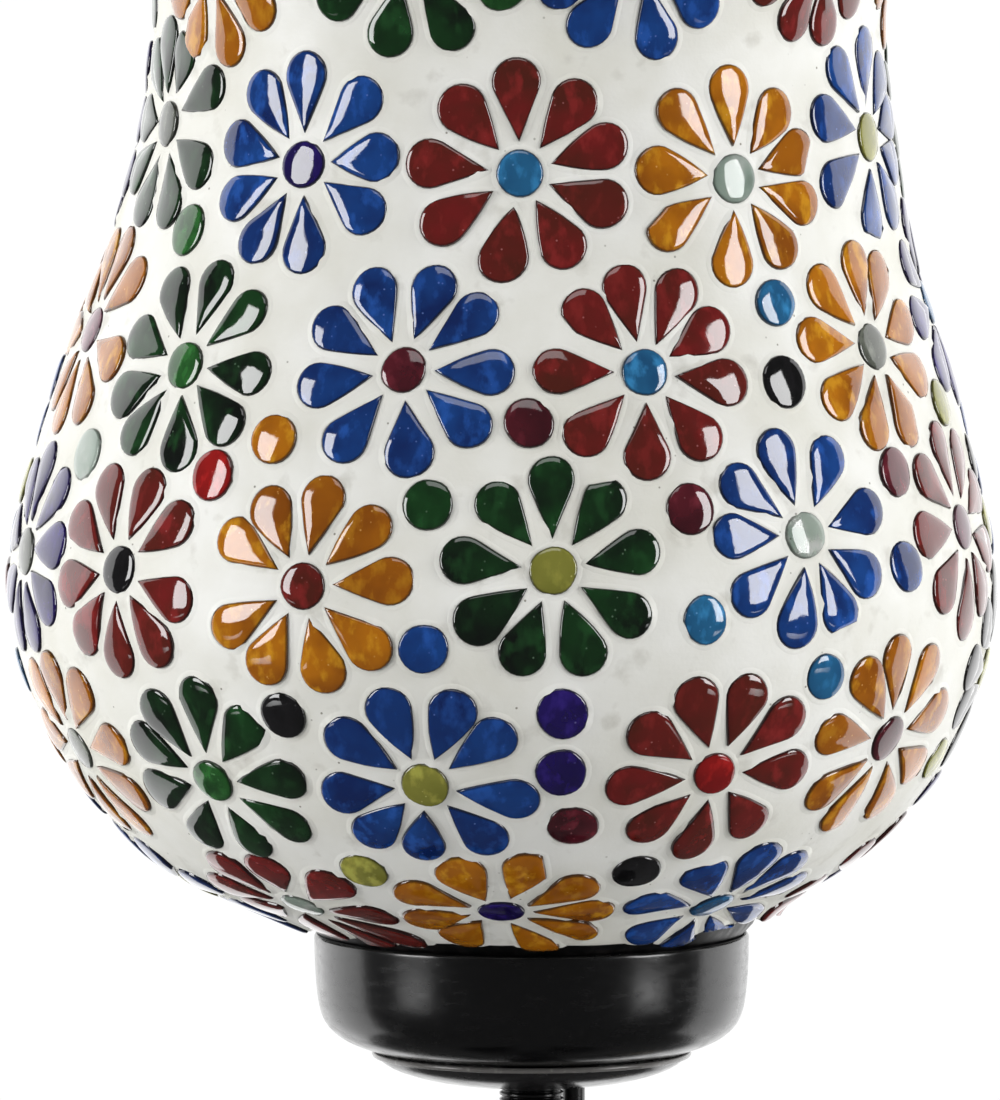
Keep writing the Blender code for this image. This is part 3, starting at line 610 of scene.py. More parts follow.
# Flowers at the front: azimuth, height, colour, heart's colour and the direction of each petal, where 0 is
# towards growing azimuth and 90 is up
FLOWERS = [
    [
        (-57, 153, "orange", "olive", [-150, -112, -68, -28, 10, 50, 90, 130, 170]),
        (-18, 156, "dark_green", "olive", [104, 62, 20, -18, -57, -100, -147, 170, 135]),
        (18, 156, "blue", "sky_blue", [-39, -75, -123, -155, 165, 125, 85, 42, 2]),
        (54, 156, "dark_red", "black", [-43, -82, -117, -155, 165, 125, 85, 40, 0]),
        (91, 154, "orange", "grey", fan(0)),
    ],
    [
        (-68, 127, "dark_green", "grey", [109, 73, 27, -26, -64, -104, 140, 180, -140]),
        (-34, 123, "blue", "violet", [94, 49, 7, -30, -77, -116, -153, 169, 130]),
        (0.5, 122.4, "dark_red", "sky_blue", [94, 54, 18, -19, -57, -98, -146, 174, 132]),
        (34.5, 121, "orange", "pale_aqua", [89, 48, 14, -20, -54, -96, -147, 172, 131]),
        (68, 125, "blue", "olive", [81, 126, 162, -154, -100, -59, -23, 9, 42]),
    ],
    [
        (-75, 95, "orange", "mauve", [153, 119, 83, 42, -15, -56, -96, -130, -173]),
        (-47, 92, "dark_green", "green", [125, 84, 42, -3, -37, -75, -121, -157, 165]),
        (-13.5, 93, "blue", "maroon", [116, 75, 40, 0, -39, -81, -127, -169, 152]),
        (18.5, 92.3, "dark_red", "sky_blue", [178, -137, -92, -52, -10, 28, 63, 100, 133]),
        (58, 94, "orange", "grey", [90, 56, 12, -24, -71, -112, -147, 172, 132]),
        (88, 98, "violet", "sky_blue", fan(16)),
    ],
    [
        (-75, 61, "violet", "grey", fan(0)),
        (-50.5, 61, "dark_red", "black", [117, 74, 36, -16, -52, -92, -129, -167, 152]),
        (-23.5, 60.2, "orange", "dark_red", [122, 81, 43, 4, -40, -76, -119, -150, 153]),
        (6, 63, "dark_green", "olive", [91, 53, 12, -31, -71, -111, -148, 172, 130]),
        (38.5, 67, "blue", "pale_aqua", [104, 61, 13, -32, -66, -103, -143, 178, 143]),
        (71, 65, "dark_red", "mauve", fan(10)),
    ],
    [
        (-68, 31, "orange", "grey", fan(0)),
        (-40, 29, "dark_green", "green", [155, 123, 83, 48, 5, -35, -80, -127, -167]),
        (-10, 30, "blue", "olive", [147, 111, 69, 35, -10, -49, -99, -136, -170]),
        (27, 31, "dark_red", "bright_red", [111, 74, 39, -1, -46, -91, -133, -173, 148]),
        (55, 34, "orange", "maroon", [99, 59, 16, -25, -61, -107, -144, 173, 131]),
        (86, 41, "black", "olive", [-160, -112, -68, -28, 12, 52, 95, 135, 172]),
    ],
    [
        (-82, 8, "blue", "olive", fan(5)),
        (-41, 8, "dark_red", "pale_aqua", [82, 40, -7, -49, -85, -128, -168, 158, 122]),
        (-1, 8.5, "orange", "violet", [114, 72, 36, 0, -33, -78, -133, -165, 155]),
        (41, 8, "blue", "sky_blue", [126, 90, 58, 22, -22, -62, -100, -138, 170]),
        (84, 9, "dark_red", "violet", fan(10)),
    ],
]
ROW_HEIGHTS = [155, 124, 94, 63, 32, 8]
ROW_SPACING = [36.0, 34.0, 33.0, 30.5, 32.0, 43.0]

# Single dots at the front: azimuth, height and colour
DOTS = [
    (-3, 151, "green"), (-55, 112, "green"), (40, 102, "sky_blue"), (39, 90, "black"), (-30, 82, "orange"),
    (-38, 76, "bright_red"), (-63, 77, "pale_aqua"), (3, 85, "maroon"), (-9, 73, "dark_green"),
    (23, 72, "maroon"), (56, 75, "maroon"), (-9, 51, "blue"), (24, 55, "sky_blue"), (55, 61, "blue"),
    (-27, 40, "black"), (7, 41, "violet"), (7, 32, "violet"), (9, 23, "maroon"), (41, 45, "sky_blue"),
    (-22, 15, "olive"), (20, 15, "black"), (73, 29, "olive"), (74, 84, "olive"),
]


class Chip:
    """One glass chip: its outline round a middle point, in millimetres on the surface."""

    def __init__(self, azimuth, s, colour, outline, core=(0.0, 0.0), turn=0.0):
        self.azimuth, self.s, self.colour = azimuth, s, colour
        c, n = polar(1.0, turn)
        *self.outline, self.core = [(x * c - y * n, x * n + y * c) for x, y in (*outline, core)]

    def point(self, x, y, lift):
        s = max(self.s + y, CLEAR_OF_HEM)
        radius = at_length(self.s + y * 0.5)[0]
        azimuth = self.azimuth + degrees(x / radius)
        s = max(s, hem_length(azimuth) + CLEAR_OF_HEM)
        return on_shade(azimuth, min(s, SHADE_LENGTH - MOUTH_INSET), lift)


def petal_outline(rng, length, half_width):
    """A teardrop along +X whose point is at the flower's middle, and its core."""
    far = length - half_width
    arc = 15
    opening = pi - acos(half_width / far)
    points = []
    for k in range(arc + 1):
        a = -opening + 2 * opening * k / arc
        points.append((PETAL_START + far + half_width * cos(a), half_width * sin(a)))
    x, y = points[-1]
    bulge = rng.uniform(0.0, 0.3)
    side = [
        (x + (PETAL_START - x) * t, y * (1 - t) + bulge * sin(pi * t)) for t in (0.2, 0.4, 0.6, 0.8)
    ]
    points += [*side, (PETAL_START, 0.0), *((x, -y) for x, y in reversed(side))]
    return points, (PETAL_START + far * 0.92, 0.0)


def dot_outline(radius, squash):
    count = 24
    points = [polar(radius, 360.0 * k / count) for k in range(count)]
    return [(x, y * squash) for x, y in points]


def roughen(rng, outline, core, amount, broken):
    """Uneven edges, and sometimes a corner knocked off."""
    seed = rng.uniform(0, 100)
    cx, cy = core
    out = []
    for x, y in outline:
        a = atan2(y - cy, x - cx)
        wave = noise.noise(Vector((cos(a) * 1.3, sin(a) * 1.3, seed)))
        grit = noise.noise(Vector((cos(a) * 6.0, sin(a) * 6.0, seed + 9)))
        f = 1.0 + amount * wave + amount * 0.12 * grit
        out.append([cx + (x - cx) * f, cy + (y - cy) * f])
    if broken:
        a = rng.uniform(-1.9, 1.9)
        reach = rng.uniform(0.68, 0.9) * PETAL_HALF_WIDTH
        nx, ny = cos(a), sin(a)
        for p in out:
            over = (p[0] - cx) * nx + (p[1] - cy) * ny - reach
            if over > 0:
                jag = 0.1 * noise.noise(Vector((p[0], p[1], seed)) * 1.7)
                p[0] -= (over + jag) * nx
                p[1] -= (over + jag) * ny
    return [(x, y) for x, y in out]


def fill_rows():
    """The front's rows, continued round the back with the same spacing."""
    rng = random.Random(11)
    order = ["dark_red", "blue", "orange", "dark_green", "violet", "orange", "blue", "dark_red", "dark_green"]
    hearts = ["olive", "bright_red", "sky_blue", "violet", "green", "pale_aqua", "black"]
    rows = []
    for i, row in enumerate(FLOWERS):
        row = list(row)
        arc = 360.0 - (row[-1][0] - row[0][0])
        count = round(arc / ROW_SPACING[i]) - 1
        last = row[-1]
        for k in range(count):
            azimuth = last[0] + arc * (k + 1) / (count + 1) + rng.uniform(-1.5, 1.5)
            colour = order[(k * 2 + i * 3) % len(order)]
            if colour == row[-1][2]:
                colour = order[(k * 2 + i * 3 + 1) % len(order)]
            heart = hearts[(k + 2 * i) % len(hearts)]
            height = ROW_HEIGHTS[i] + rng.uniform(-1.5, 1.5)
            row.append((azimuth, height, colour, heart, fan(rng.uniform(-20, 20))))
        rows.append(row)
    return rows


def make_chips():
    """Every chip of the mosaic: petals, kept clear of their neighbours, then hearts, then single dots."""
    rng = random.Random(5)
    flowers = [(azimuth, length_of(height), *rest) for row in fill_rows() for azimuth, height, *rest in row]
    petals = []
    for index, (azimuth, s, colour, _, turns) in enumerate(flowers):
        for turn in turns:
            turn += rng.uniform(-1.5, 1.5)
            petals.append([index, azimuth, s, colour, turn, PETAL_LENGTH + rng.uniform(-0.5, 0.5)])

    def end_of(petal):
        _, azimuth, s, _, turn, length = petal
        x, y = polar(PETAL_START + length - PETAL_HALF_WIDTH, turn)
        return Vector(Chip(azimuth, s, "", []).point(x, y, 0.0))

    ends = [end_of(p) for p in petals]
    for _ in range(3):
        for i, p in enumerate(petals):
            for j, q in enumerate(petals):
                touching = q[0] != p[0] and (ends[i] - ends[j]).length < 2 * PETAL_HALF_WIDTH + 0.5
                if touching and p[5] > SHORTEST_PETAL:
                    p[5] -= 0.5
                    ends[i] = end_of(p)

    chips = []
    for _, azimuth, s, colour, turn, length in petals:
        if s + polar(PETAL_START + length - PETAL_HALF_WIDTH, turn)[1] < 0.4:
            continue
        outline, core = petal_outline(rng, length, PETAL_HALF_WIDTH * rng.uniform(0.95, 1.04))
        outline = roughen(rng, outline, core, 0.022, rng.random() < 0.1)
        chips.append(Chip(azimuth, s, colour, outline, core, turn))

    def add_round(azimuth, s, colour, radius, thinnest, amount, broken):
        outline = dot_outline(radius, rng.uniform(thinnest, 1.0))
        outline = roughen(rng, outline, (0, 0), amount, broken > 0 and rng.random() < broken)
        chips.append(Chip(azimuth, s, colour, outline, (0, 0), rng.uniform(0, 180)))

    for azimuth, s, _, heart, _ in flowers:
        add_round(azimuth, s, heart, HEART_RADIUS * rng.uniform(0.95, 1.05), 0.94, 0.04, 0.0)
    dots = [(a, length_of(z), colour) for a, z, colour in DOTS]
    colours = ["maroon", "sky_blue", "green", "black", "olive", "blue", "bright_red", "violet"]
    top = int(SHADE_LENGTH)
    tries = [(a, s) for a in range(82, 278, 2) for s in range(8, top - 6, 2)]
    tries += [(a, s) for a in range(-82, 82, 2) for s in range(top - 12, top - 5, 2)]
    rng.shuffle(tries)
    middles = [Vector(on_shade(a, s)) for a, s, *_ in flowers]
    spots = [Vector(on_shade(a, s)) for a, s, _ in dots]
    near = (
        (middles, PETAL_START + PETAL_LENGTH + 0.5),
        (ends, PETAL_HALF_WIDTH + HEART_RADIUS + 0.6),
        (spots, 2 * HEART_RADIUS + 1.4),
    )
    for azimuth, s in tries:
        here = Vector(on_shade(azimuth, s))
        if any((here - other).length < reach for others, reach in near for other in others):
            continue
        dots.append((azimuth, s, colours[rng.randrange(len(colours))]))
        spots.append(here)
    for azimuth, s, colour in dots:
        add_round(azimuth, s, colour, DOT_RADIUS * rng.uniform(0.94, 1.05), 0.92, 0.035, 0.12)
    return chips


# The chip's section: the size of each ring beside the outline, its lift, and how dark its painted edge shade
# is
CHIP_RINGS = [
    (1.0, -2.5, 0.0), (1.0, -0.6, 0.2), (1.0, -0.12, 1.0), (0.99, 0.16, 1.0),
    (0.957, 0.35, 0.75), (0.9, 0.46, 0.0), (0.72, 0.6, 0.0), (0.4, 0.7, 0.0),
]
CHIP_TOP = 0.73
CHIP_TILT = 0.06
# How much flatter a chip is than the shade it lies on
FLATNESS = 0.2


def build_chips(chips):
    """The chips, joined by colour, each with its own tint, tilt and height."""
    rng = random.Random(23)
    for colour in sorted({chip.colour for chip in chips}):
        points, faces, edge_shades, tints = [], [], [], []
        for chip in chips:
            if chip.colour != colour:
                continue
            tint = rng.random()
            tilt = (rng.uniform(-CHIP_TILT, CHIP_TILT), rng.uniform(-CHIP_TILT, CHIP_TILT))
            radius = at_length(chip.s)[0]
            high = rng.uniform(-0.08, 0.14)
            count = len(chip.outline)
            cx, cy = chip.core
            first = len(points)
            for scale, lift, rim in CHIP_RINGS:
                for x, y in chip.outline:
                    dx, dy = cx + (x - cx) * scale - cx, cy + (y - cy) * scale - cy
                    up = lift
                    if lift > 0:
                        up += high + (dx * tilt[0] + dy * tilt[1]) / (1 + hypot(dx, dy) / 6)
                        up += FLATNESS * dx**2 / (2 * radius)
                    points.append(chip.point(cx + dx, cy + dy, up))
                edge_shades += [rim] * count
            points += [chip.point(cx, cy, CHIP_RINGS[0][1]), chip.point(cx, cy, CHIP_TOP + high)]
            edge_shades += [0.0, 0.0]
            tints += [tint] * (len(points) - first)
            under, top = len(points) - 2, len(points) - 1
            last = top - 1 - count
            for k in range(count):
                j = (k + 1) % count
                faces.append([first + j, first + k, under])
                for low in range(first, last, count):
                    faces.append([low + k, low + j, low + count + j, low + count + k])
                faces.append([last + k, last + j, top])
        mesh = raw_mesh("chips_" + colour, points, faces)
        # rim holds each point's painted edge shade; tint is the chip's own random depth of colour
        for name, values in (("rim", edge_shades), ("tint", tints)):
            layer = mesh.attributes.new(name, "FLOAT", "POINT")
            layer.data.foreach_set("value", values)
        mesh.shade_smooth()
        base, deep, through = CHIP_COLOURS[colour]
        look = chip_look("glass chip " + colour.replace("_", " "), rgb(*base), rgb(*deep), through)
        add_piece("chips_" + colour, mesh, look, "shade", slot="chip_glass")


# How far outside a chip's edge each ring of its collar lies, and its lift
COLLAR_RINGS = [(0.02, 0.08), (0.25, 0.08), (0.75, 0.03), (1.25, -0.12)]
LAP_START = 0.3


def build_collars(chips):
    """The grout that rises to each chip's edge and here and there laps over it."""
    points, faces = [], []
    for n, chip in enumerate(chips):
        count = len(chip.outline)
        first = len(points)
        edge = []
        for k, (x, y) in enumerate(chip.outline):
            (ax, ay), (bx, by) = chip.outline[k - 1], chip.outline[(k + 1) % count]
            along = Vector((bx - ax, by - ay))
            along = along.normalized() if along.length > 1e-6 else Vector((1.0, 0.0))
            over = max(0.0, noise.noise(Vector((x * 0.55, y * 0.55, n * 1.7))) - LAP_START)
            edge.append((x, y, along, over))
        for ring, (away, lift) in enumerate(COLLAR_RINGS):
            for x, y, along, over in edge:
                shift, up = away, lift
                if ring == 0:
                    shift -= 0.9 * over
                    up += min(over * 1.6, 0.34)
                elif ring == 1:
                    up += over * 0.5
                points.append(chip.point(x + along.y * shift, y - along.x * shift, up))
        for a in range(first, len(points) - count, count):
            b = a + count
            for k in range(count):
                j = (k + 1) % count
                faces.append([a + j, a + k, b + k, b + j])
    add_piece("grout_collars", mesh_from("grout_collars", points, faces, 60.0), "grout", "shade")


GLASS_THICKNESS = 2.4
FOOT_BAND_THICKNESS = 0.14
FOOT_LOW, FOOT_HIGH = -4.0, 4.6


def make_glass_vase():
    """The clear vase under the mosaic, and a black band on its foot."""
    glass = inset(smooth_outline(MOSAIC_OUTLINE, 2.0), lambda z: 0.9 + 1.5 * min(1.0, (z - 0.7) / 4.0) + GAP)
    glass[-1] = (glass[-1][0], MOUTH_HEIGHT)
    wall = [*BOWL_OUTLINE, *glass]
    lining = inset(wall, GLASS_THICKNESS)
    lining[-1] = (lining[-1][0], MOUTH_HEIGHT)
    on_vase = {"body": "shade", "above_rim": True, "leaning": True}
    turned("vase", [*reversed(wall), *lining], "clear_glass", corner=0.8, replaces=("glass_vase",), **on_vase)
    # A thin black band over the vase's foot, where the mosaic leaves it bare
    foot = [(r, z) for r, z in wall if FOOT_LOW < z < FOOT_HIGH]
    skin = inset(foot, -FOOT_BAND_THICKNESS)
    turned("vase_foot", [*reversed(foot), *skin], "foot_band", corner=0.0, slot="black_enamel", **on_vase)


# ---- cup, stem and base


def ridged(radius, depth, low, high, pitch):
    """Thread ridges down an outer side, from high to low."""
    out = []
    z = high
    while z - pitch >= low:
        for part, cut in ((0.0, 0.0), (0.2, 0.0), (0.5, depth), (0.85, 0.0)):
            out.append((radius - cut, z - part * pitch))
        z -= pitch
    return out


def make_metalwork():
    low, high = 2.8, RIM_Z - 8.6
    pipe = [
        (4.7, high), *ridged(5.0, 0.5, 138.0, high - 0.5, 1.0), (5.0, 137.6),
        (5.0, 39.0), *ridged(5.0, 0.5, low + 0.5, 33.0, 1.0), (4.7, low), (3.6, low), (3.6, high),
    ]
    turned("stem", pipe, "black_enamel", 64, 0.08, replaces=("stem_pipe",))
    wall = [
        (33.7, -0.5), (33.62, -4.0), (33.42, -7.5), (33.0, -11.0),
        (32.1, -13.7), (30.5, -15.5), (28.2, -16.9), (24.3, -18.3),
    ]
    cup = [
        (33.3, 0.0), *smooth_outline(wall, 0.7), (5.3, -18.3), (5.3, -17.4), (24.0, -17.4), (27.8, -15.95),
        (29.9, -14.8), (31.4, -13.3), (32.2, -10.9), (32.8, -0.6), (32.9, -0.1),
    ]
    turned("cup", cup, "black_enamel", corner=0.7, above_rim=True, replaces=("gallery_cup",))
    rim, reach, depth, thick, bore = -18.6, 24.1, 5.4, 1.0, 5.3
    turns = [radians(6 * k) for k in range(14)]

    def shell(inward):
        points = [((reach - inward) * cos(a), rim - (depth - inward) * sin(a)) for a in turns]
        return [p for p in points if p[0] > 6.0]

    saucer = [*shell(0.0), (bore, rim - 5.25), (bore, rim - 4.25), *reversed(shell(thick))]
    on_cup = {"above_rim": True, "slot": "black_enamel"}
    # The saucer's lighter enamel is a painted reflection of the floor below
    turned("saucer", saucer, "saucer_enamel_painted_reflection", corner=0.3, replaces=("gallery_saucer",), **on_cup)
    lip = [
        (24.8, -18.9), (24.65, -18.55), (24.3, -18.45), (24.0, -18.6),
        (24.0, -19.2), (24.3, -19.35), (24.65, -19.25),
    ]
    # The lip's light grey enamel is a painted highlight, the bright line along its bead
    turned("saucer_lip", lip, "lip_painted_highlight", corner=0.1, **on_cup)
    crown = [
        (12.5, 20.0), (14.4, 19.1), (18.5, 17.2), (26.0, 15.0), (38.0, 12.0),
        (50.0, 9.3), (57.2, 7.4), (60.6, 6.6), (62.0, 5.2), (62.0, 2.3),
    ]
    under = [
        (60.8, 2.3), (60.8, 4.9), (59.8, 5.5), (56.9, 6.2), (49.7, 8.1),
        (37.7, 10.8), (25.7, 13.8), (18.1, 16.0), (13.9, 18.0), (12.0, 18.8),
    ]
    dome = [(5.3, 20.0), *crown, *under, (5.3, 18.8)]
    turned("dome", dome, "black_enamel", corner=1.4, replaces=("base_dome",))
    hub = [
        (7.0, 34.0), (8.7, 33.3), (9.3, 31.9), (8.7, 30.5), (7.3, 29.4), (7.4, 26.6),
        (9.0, 24.3), (11.7, 23.1), (12.3, 21.7), (11.8, 20.3), (5.3, 20.3), (5.3, 34.0),
    ]
    turned("hub", hub, "black_enamel", 96, 0.7, replaces=("base_hub",))
    pad = [(0.0, 2.0), (57.0, 2.0), (57.6, 1.4), (57.6, 0.6), (57.0, 0.0), (0.0, 0.0)]
    turned("pad", pad, "felt", 120, replaces=("base_pad",))


# ---- bulb


GLOBE_RADIUS, GLOBE_HEIGHT = 14.0, 60.0
GLOBE_WALL = 0.7
FILAMENT_HEIGHT = 56.6
FILAMENT_REACH, FILAMENT_RISE = 7.8, 4.0
FILAMENT_COIL = 0.42
FILAMENT_TURNS = 13


def make_bulb():
    head = [radians(90 - 11.25 * k) for k in range(1, 12)]
    head = [(GLOBE_RADIUS * cos(a), GLOBE_HEIGHT + GLOBE_RADIUS * sin(a)) for a in head]
    outside = [(0.0, GLOBE_HEIGHT + GLOBE_RADIUS), *head, (9.6, 42.6), (7.4, 35.4), (6.3, 29.5), (6.2, 22.0)]
    inside = [(max(0.0, r - GLOBE_WALL), z - (GLOBE_WALL if z > GLOBE_HEIGHT else 0.0)) for r, z in outside]
    globe = [*outside, *reversed(inside)]
    in_bulb = {"body": "bulb", "above_rim": True}
    glass = clear_glass_look("bulb glass", rgb(250, 250, 248))
    turned("bulb_globe", globe, glass, 72, 0.0, slot="clear_glass", replaces=("bulb_glass",), **in_bulb)
    cap = [
        (8.3, 28.6), (8.3, 27.2), (6.9, 24.8),
        *[(r, z) for k in range(5) for r, z in ((6.9, 23.4 - 2.8 * k), (6.55, 22.0 - 2.8 * k))],
        (6.9, 9.6), (6.1, 8.7), (5.6, 8.7), (6.2, 10.0), (6.2, 24.9), (7.9, 27.4), (7.9, 28.6),
    ]
    turned("bulb_shell", cap, "brass", 72, 0.5, replaces=("bulb_cap",), **in_bulb)
    steps = FILAMENT_TURNS * 12
    points = []
    for k in range(steps + 1):
        t = k / steps
        arch = pi * (1 - t)
        spin = 2 * pi * FILAMENT_TURNS * t
        swing = FILAMENT_COIL * cos(spin)
        height = RIM_Z + FILAMENT_HEIGHT + (FILAMENT_RISE + swing) * sin(arch)
        points.append(((FILAMENT_REACH + swing) * cos(arch), FILAMENT_COIL * sin(spin), height))
    coil = wire("bulb_filament", points, 0.09, 1, False)
    add_piece("bulb_filament", coil, "plated_steel", "bulb", replaces=("filament",))


# ---- lead, switch and plug

# The lead's way down the stem, along the base and through the switch, and from the coil to the plug
DROP_ROUTE = [
    *[(LEAD_X, LEAD_Y, z) for z in (LEAD_EXIT_Z, 142.0, 120.0, 95.0, 70.0)],
    (6.7, 7.0, 56.0), (8.6, 8.6, 43.0), (14.4, 12.6, 30.6), (24.0, 17.6, 22.2), (36.0, 23.4, 16.6),
    (48.0, 29.6, 12.4), (58.6, 36.4, 6.8), (68.0, 45.6, 2.1), (73.0, 58.6, 2.1), (72.0, 72.0, 2.1),
    (64.6, 82.4, 3.2), *[(SWITCH_X + x, SWITCH_Y, 6.0) for x in (26.3, 8.0, -8.0, -26.3)],
    (-9.0, SWITCH_Y, 4.4), (-21.5, SWITCH_Y, 3.0),
]
TAIL_ROUTE = [
    (-27.0, COIL_Y + 23.3, 12.7), (-18.6, 134.2, 11.2), (-13.0, 132.4, 9.8), (-7.4, 128.4, 8.0),
    (-2.6, 126.4, 7.1), (1.6, PLUG_Y, PLUG_Z), (8.0, PLUG_Y, PLUG_Z),
]
# Radius and height of each turn of the coil
COIL_COLUMNS = [24.9, 21.3, 17.7, 19.5, 23.1, 24.9, 21.3, 17.7, 19.5, 23.1]
COIL_LAYERS = [3.0, 3.0, 3.0, 6.12, 6.12, 9.24, 9.24, 9.24, 12.35, 12.35]
COIL_TURNS = 9.5
POINTS_A_TURN = 24


def coil_points():
    """The coiled stretch, clockwise seen from above, from its -Y side to its +Y side."""
    out = []
    total = int(COIL_TURNS * POINTS_A_TURN)
    for k in range(total + 1):
        turn = k / POINTS_A_TURN
        strand = min(int(turn), len(COIL_COLUMNS) - 1)
        following = min(strand + 1, len(COIL_COLUMNS) - 1)
        t = eased((turn - strand - 0.7) / 0.3)
        radius = COIL_COLUMNS[strand] * (1 - t) + COIL_COLUMNS[following] * t
        height = COIL_LAYERS[strand] * (1 - t) + COIL_LAYERS[following] * t
        a = -pi / 2 - 2 * pi * turn
        out.append((COIL_X + radius * cos(a), COIL_Y + radius * sin(a), height))
    return out


def make_lead():
    drop = smooth_line(DROP_ROUTE, 16.0)
    points = [*[tuple(p) for p in drop], *coil_points(), *TAIL_ROUTE]
    lead = add_piece("lead", wire("lead", points, LEAD_RADIUS, 5), "black_sheath")
    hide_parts("lead_drop", "lead_link", "lead_coil", "lead_tail")
    return lead


def rounded_box(name, size, middle, radius, taper=1.0, dish=0.0):
    """A soft-edged moulded block, narrower at its -X end by taper, its top hollowed by dish."""
    mesh = bpy.data.meshes.new(name)
    work = bmesh.new()
    bmesh.ops.create_cube(work, size=1.0)
    bmesh.ops.subdivide_edges(work, edges=list(work.edges), cuts=5, use_grid_fill=True)
    half = Vector(size) / 2
    for vert in work.verts:
        p = Vector(a * b for a, b in zip(vert.co, size))
        core = Vector(max(-h + radius, min(h - radius, c)) for c, h in zip(p, half))
        out = p - core
        if out.length > 1e-6:
            p = core + out.normalized() * radius
        t = (p.x + half.x) / size[0]
        p.y *= taper + (1 - taper) * t
        if dish and p.z > half.z * 0.6:
            p.z -= dish * max(0.0, 1 - (p.y / half.y) ** 2) * max(0.0, 1 - (p.x / half.x) ** 2)
        vert.co = (p + Vector(middle)) * MM
    work.to_mesh(mesh)
    work.free()
    mesh.shade_smooth()
    return mesh


def make_plug():
    back, long, high = 24.3, 30.0, 14.0
    body = rounded_box("plug", (long, 26.0, high), (back + long / 2, PLUG_Y, PLUG_Z), 3.4, 0.72, 0.5)
    plug = add_piece("plug", body, "black_plastic", replaces=("plug_body",))
    sub = plug.modifiers.new("round", "SUBSURF")
    sub.levels = 1
    sub.render_levels = 1
    relief = []
    ribs = 9
    for k in range(ribs):
        x = 2.0 + 22.0 * k / ribs
        r = 2.5 + 2.1 * k / ribs
        relief += [(r, x), (r + 0.2, x + 1.5), (r - 0.3, x + 1.9), (r - 0.3, x + 2.2)]
    outline = [(1.95, 2.0), *relief, (4.6, 24.0), (1.95, 24.0)]
    mesh = lathe("relief", [(r, z) for r, z in reversed(outline)], 48, corner=0.12)
    mesh.transform(Matrix.Translation((0.0, PLUG_Y * MM, PLUG_Z * MM)) @ Matrix.Rotation(pi / 2, 4, "Y"))
    add_piece("relief", mesh, "black_plastic", replaces=("plug_relief",))
    return plug


def make_tie():
    """The band round the coil's turns: a flat strap with a raised edge along each side."""
    low, high, tall, corner = -5.7, 6.0, 6.8, 1.0
    half, inner, thick, groove = 3.0, 2.35, 0.8, 0.2
    across = (-half, -2.4, -2.3, 2.3, 2.4, half)
    points, faces = [], []
    loop = []
    for quarter, (cx, cz) in enumerate(((high, tall), (low, tall), (low, -tall), (high, -tall))):
        cx -= copysign(corner, cx)
        cz -= copysign(corner, cz)
        for k in range(5):
            a = radians(90 * quarter + 22.5 * k)
            loop.append((cx + corner * cos(a), cz + corner * sin(a), a))
    for x, z, a in loop:
        points += [(x, y, z) for y in (-half, half)]
        for y in across:
            reach = thick if abs(y) > inner else thick - groove
            points.append((x + reach * cos(a), y, z + reach * sin(a)))
    order = [0, 2, 3, 4, 5, 6, 7, 1]
    ring = len(order)
    for k in range(len(loop)):
        j = (k + 1) % len(loop)
        for a, b in zip(order, order[1:] + order[:1]):
            faces.append([k * ring + a, j * ring + a, j * ring + b, k * ring + b])
    mesh = mesh_from("tie", [(COIL_X - 21.3 + x, COIL_Y + y, 7.7 + z) for x, y, z in points], faces, 50.0)
    return add_piece("tie", mesh, "black_plastic", replaces=("coil_tie",))


# ---- carried-over CAD pieces


# Radius of the rounding on the edges of nodes that show
SOFT_EDGES = {
    0.2: "base_washer",
    0.3: "switch_rocker lead_clip_upper lead_clip_lower lead_bush base_nut plug_pin_left plug_pin_right",
    0.4: "holder_cap holder_skirt",
    0.5: "switch_base",
    0.7: "switch_cover",
}
NODE_LOOKS = {
    "brass": "screw_shell centre_contact terminal_live terminal_neutral plug_pin_left plug_pin_right"
    " switch_contact_in switch_contact_out",
    "plated_steel": "base_washer base_nut cup_washer cup_nut terminal_screw_live terminal_screw_neutral"
    " switch_screw filament_support_left filament_support_right bulb_contact",
    "cast_iron": "base_weight",
    "white_plastic": "holder_cap holder_skirt",
    "ceramic": "holder_insert",
    "black_plastic": "lead_bush lead_clip_upper lead_clip_lower switch_base switch_cover switch_rocker"
    " bulb_insulator",
    "clear_glass": "bulb_mount",
    "brown_insulation": "core_live",
    "blue_insulation": "core_neutral",
}


def dress_nodes():
    """Every CAD node that still shows gets its slot's look."""
    for look, names in NODE_LOOKS.items():
        for name in names.split():
            NODES[name].data.materials.clear()
            NODES[name].data.materials.append(LOOKS[look])
    for radius, names in SOFT_EDGES.items():
        for name in names.split():
            bevel = NODES[name].modifiers.new("soft edges", "BEVEL")
            bevel.width = radius * MM
            bevel.segments = 2
            bevel.limit_method = "ANGLE"
            bevel.angle_limit = radians(40)
            bevel.use_clamp_overlap = True


# ---- stage

CAMERA_DISTANCE = 4000.0
CAMERA_TILT = 5.5
FRAME_HEIGHT = 170.2
SENSOR = 36.0
AIM = (-4.9, 0.0, 234.4)
FLOOR_RADIUS = 640.0
SEEN_WHITE = 1.02
ROOM_WHITE = 0.09

# Each light's place and aim in metres, its width, height, power and spread. Those at the sides stand at the
# right, and have a twin at the left
SIDE_LIGHTS = {
    "side": ((1.25, 0.98, 0.15), (0.0, 0.0, 0.15), 1.6, 2.5, 20.5, 180.0),
    "strip": ((0.77, -0.36, 0.44), (0.0, 0.0, 0.41), 0.3, 0.56, 5.0, 180.0),
    "card": ((0.54, -0.25, 0.04), (0.0, 0.0, 0.165), 0.22, 0.05, 0.0055, 35.0),
}
MIDDLE_LIGHTS = {
    "back": ((0.0, 1.75, 0.15), (0.0, 0.0, 0.15), 1.7, 2.5, 17.0, 180.0),
    "top": ((0.0, -0.8, 1.5), (0.0, 0.0, 0.25), 1.0, 0.6, 4.6, 180.0),
}


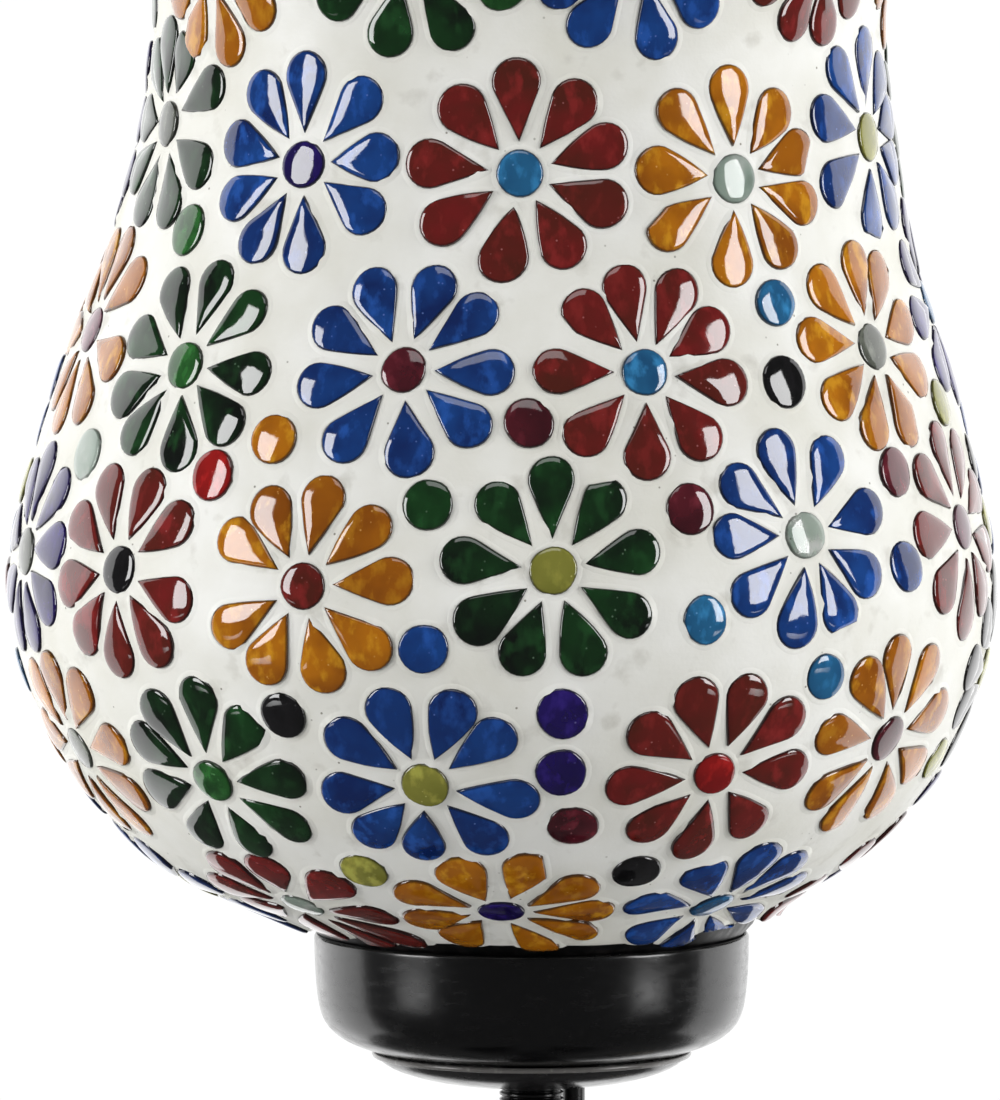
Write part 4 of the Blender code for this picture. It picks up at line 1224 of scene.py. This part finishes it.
def make_camera():
    """A long lens at the photograph's height and tilt."""
    data = bpy.data.cameras.new("camera")
    data.sensor_width = SENSOR
    data.lens = SENSOR * CAMERA_DISTANCE / FRAME_HEIGHT
    data.clip_start, data.clip_end = 0.1, 60.0
    camera = bpy.data.objects.new("camera", data)
    bpy.context.scene.collection.objects.link(camera)
    tilt = radians(CAMERA_TILT)
    back = Vector((0.0, -cos(tilt), sin(tilt)))
    camera.location = (Vector(AIM) + back * CAMERA_DISTANCE) * MM
    camera.rotation_mode = "QUATERNION"
    camera.rotation_quaternion = (-back).to_track_quat("-Z", "Y")
    bpy.context.scene.camera = camera


def soft_box(name, location, aim, width, height, power, spread):
    data = bpy.data.lights.new(name, "AREA")
    data.shape = "RECTANGLE"
    data.size, data.size_y = width, height
    data.energy = power
    data.spread = radians(spread)
    light = bpy.data.objects.new(name, data)
    light.location = location
    light.rotation_euler = (Vector(aim) - Vector(location)).to_track_quat("-Z", "Y").to_euler()
    light.visible_camera = False
    bpy.context.scene.collection.objects.link(light)


def make_floor():
    """A pale disc, left out of reflections: the photograph's lower chips and cup reflect nothing pale."""
    look = Look("floor", roughness=0.8)
    look.paint(look.noise(3.0, 3.0), rgb(198, 198, 198), rgb(204, 204, 203))
    disc = [(0.0, 0.0), (FLOOR_RADIUS, 0.0), (FLOOR_RADIUS, -2.0), (0.0, -2.0)]
    mesh = lathe("floor", disc, 96, corner=0.0)
    mesh.materials.append(look.material)
    floor = bpy.data.objects.new("floor", mesh)
    bpy.context.scene.collection.objects.link(floor)
    floor.visible_glossy = False


def make_studio():
    """A room that is white to the camera and dim to everything else, and its soft boxes."""
    world = bpy.data.worlds.new("studio")
    bpy.context.scene.world = world
    world.use_nodes = True
    nodes, link = world.node_tree.nodes, world.node_tree.links.new
    path = nodes.new("ShaderNodeLightPath")
    seen, room = nodes["Background"], nodes.new("ShaderNodeBackground")
    for shader, strength in ((seen, SEEN_WHITE), (room, ROOM_WHITE)):
        shader.inputs["Color"].default_value = (1.0, 1.0, 1.0, 1.0)
        shader.inputs["Strength"].default_value = strength
    mix = nodes.new("ShaderNodeMixShader")
    for socket, source in enumerate((path.outputs["Is Camera Ray"], room.outputs[0], seen.outputs[0])):
        link(source, mix.inputs[socket])
    link(mix.outputs[0], nodes["World Output"].inputs["Surface"])
    for side, name in ((-1, "left"), (1, "right")):
        for kind, ((x, y, z), *rest) in SIDE_LIGHTS.items():
            soft_box(name + " " + kind, (x * side, y, z), *rest)
    for name, values in MIDDLE_LIGHTS.items():
        soft_box(name, *values)
    bpy.context.scene.view_settings.view_transform = "Standard"


make_camera()
make_floor()
make_studio()
lead = make_lead()
plug = make_plug()
tie = make_tie()
make_grout()
all_chips = make_chips()
build_chips(all_chips)
build_collars(all_chips)
make_glass_vase()
make_metalwork()
make_bulb()
dress_nodes()
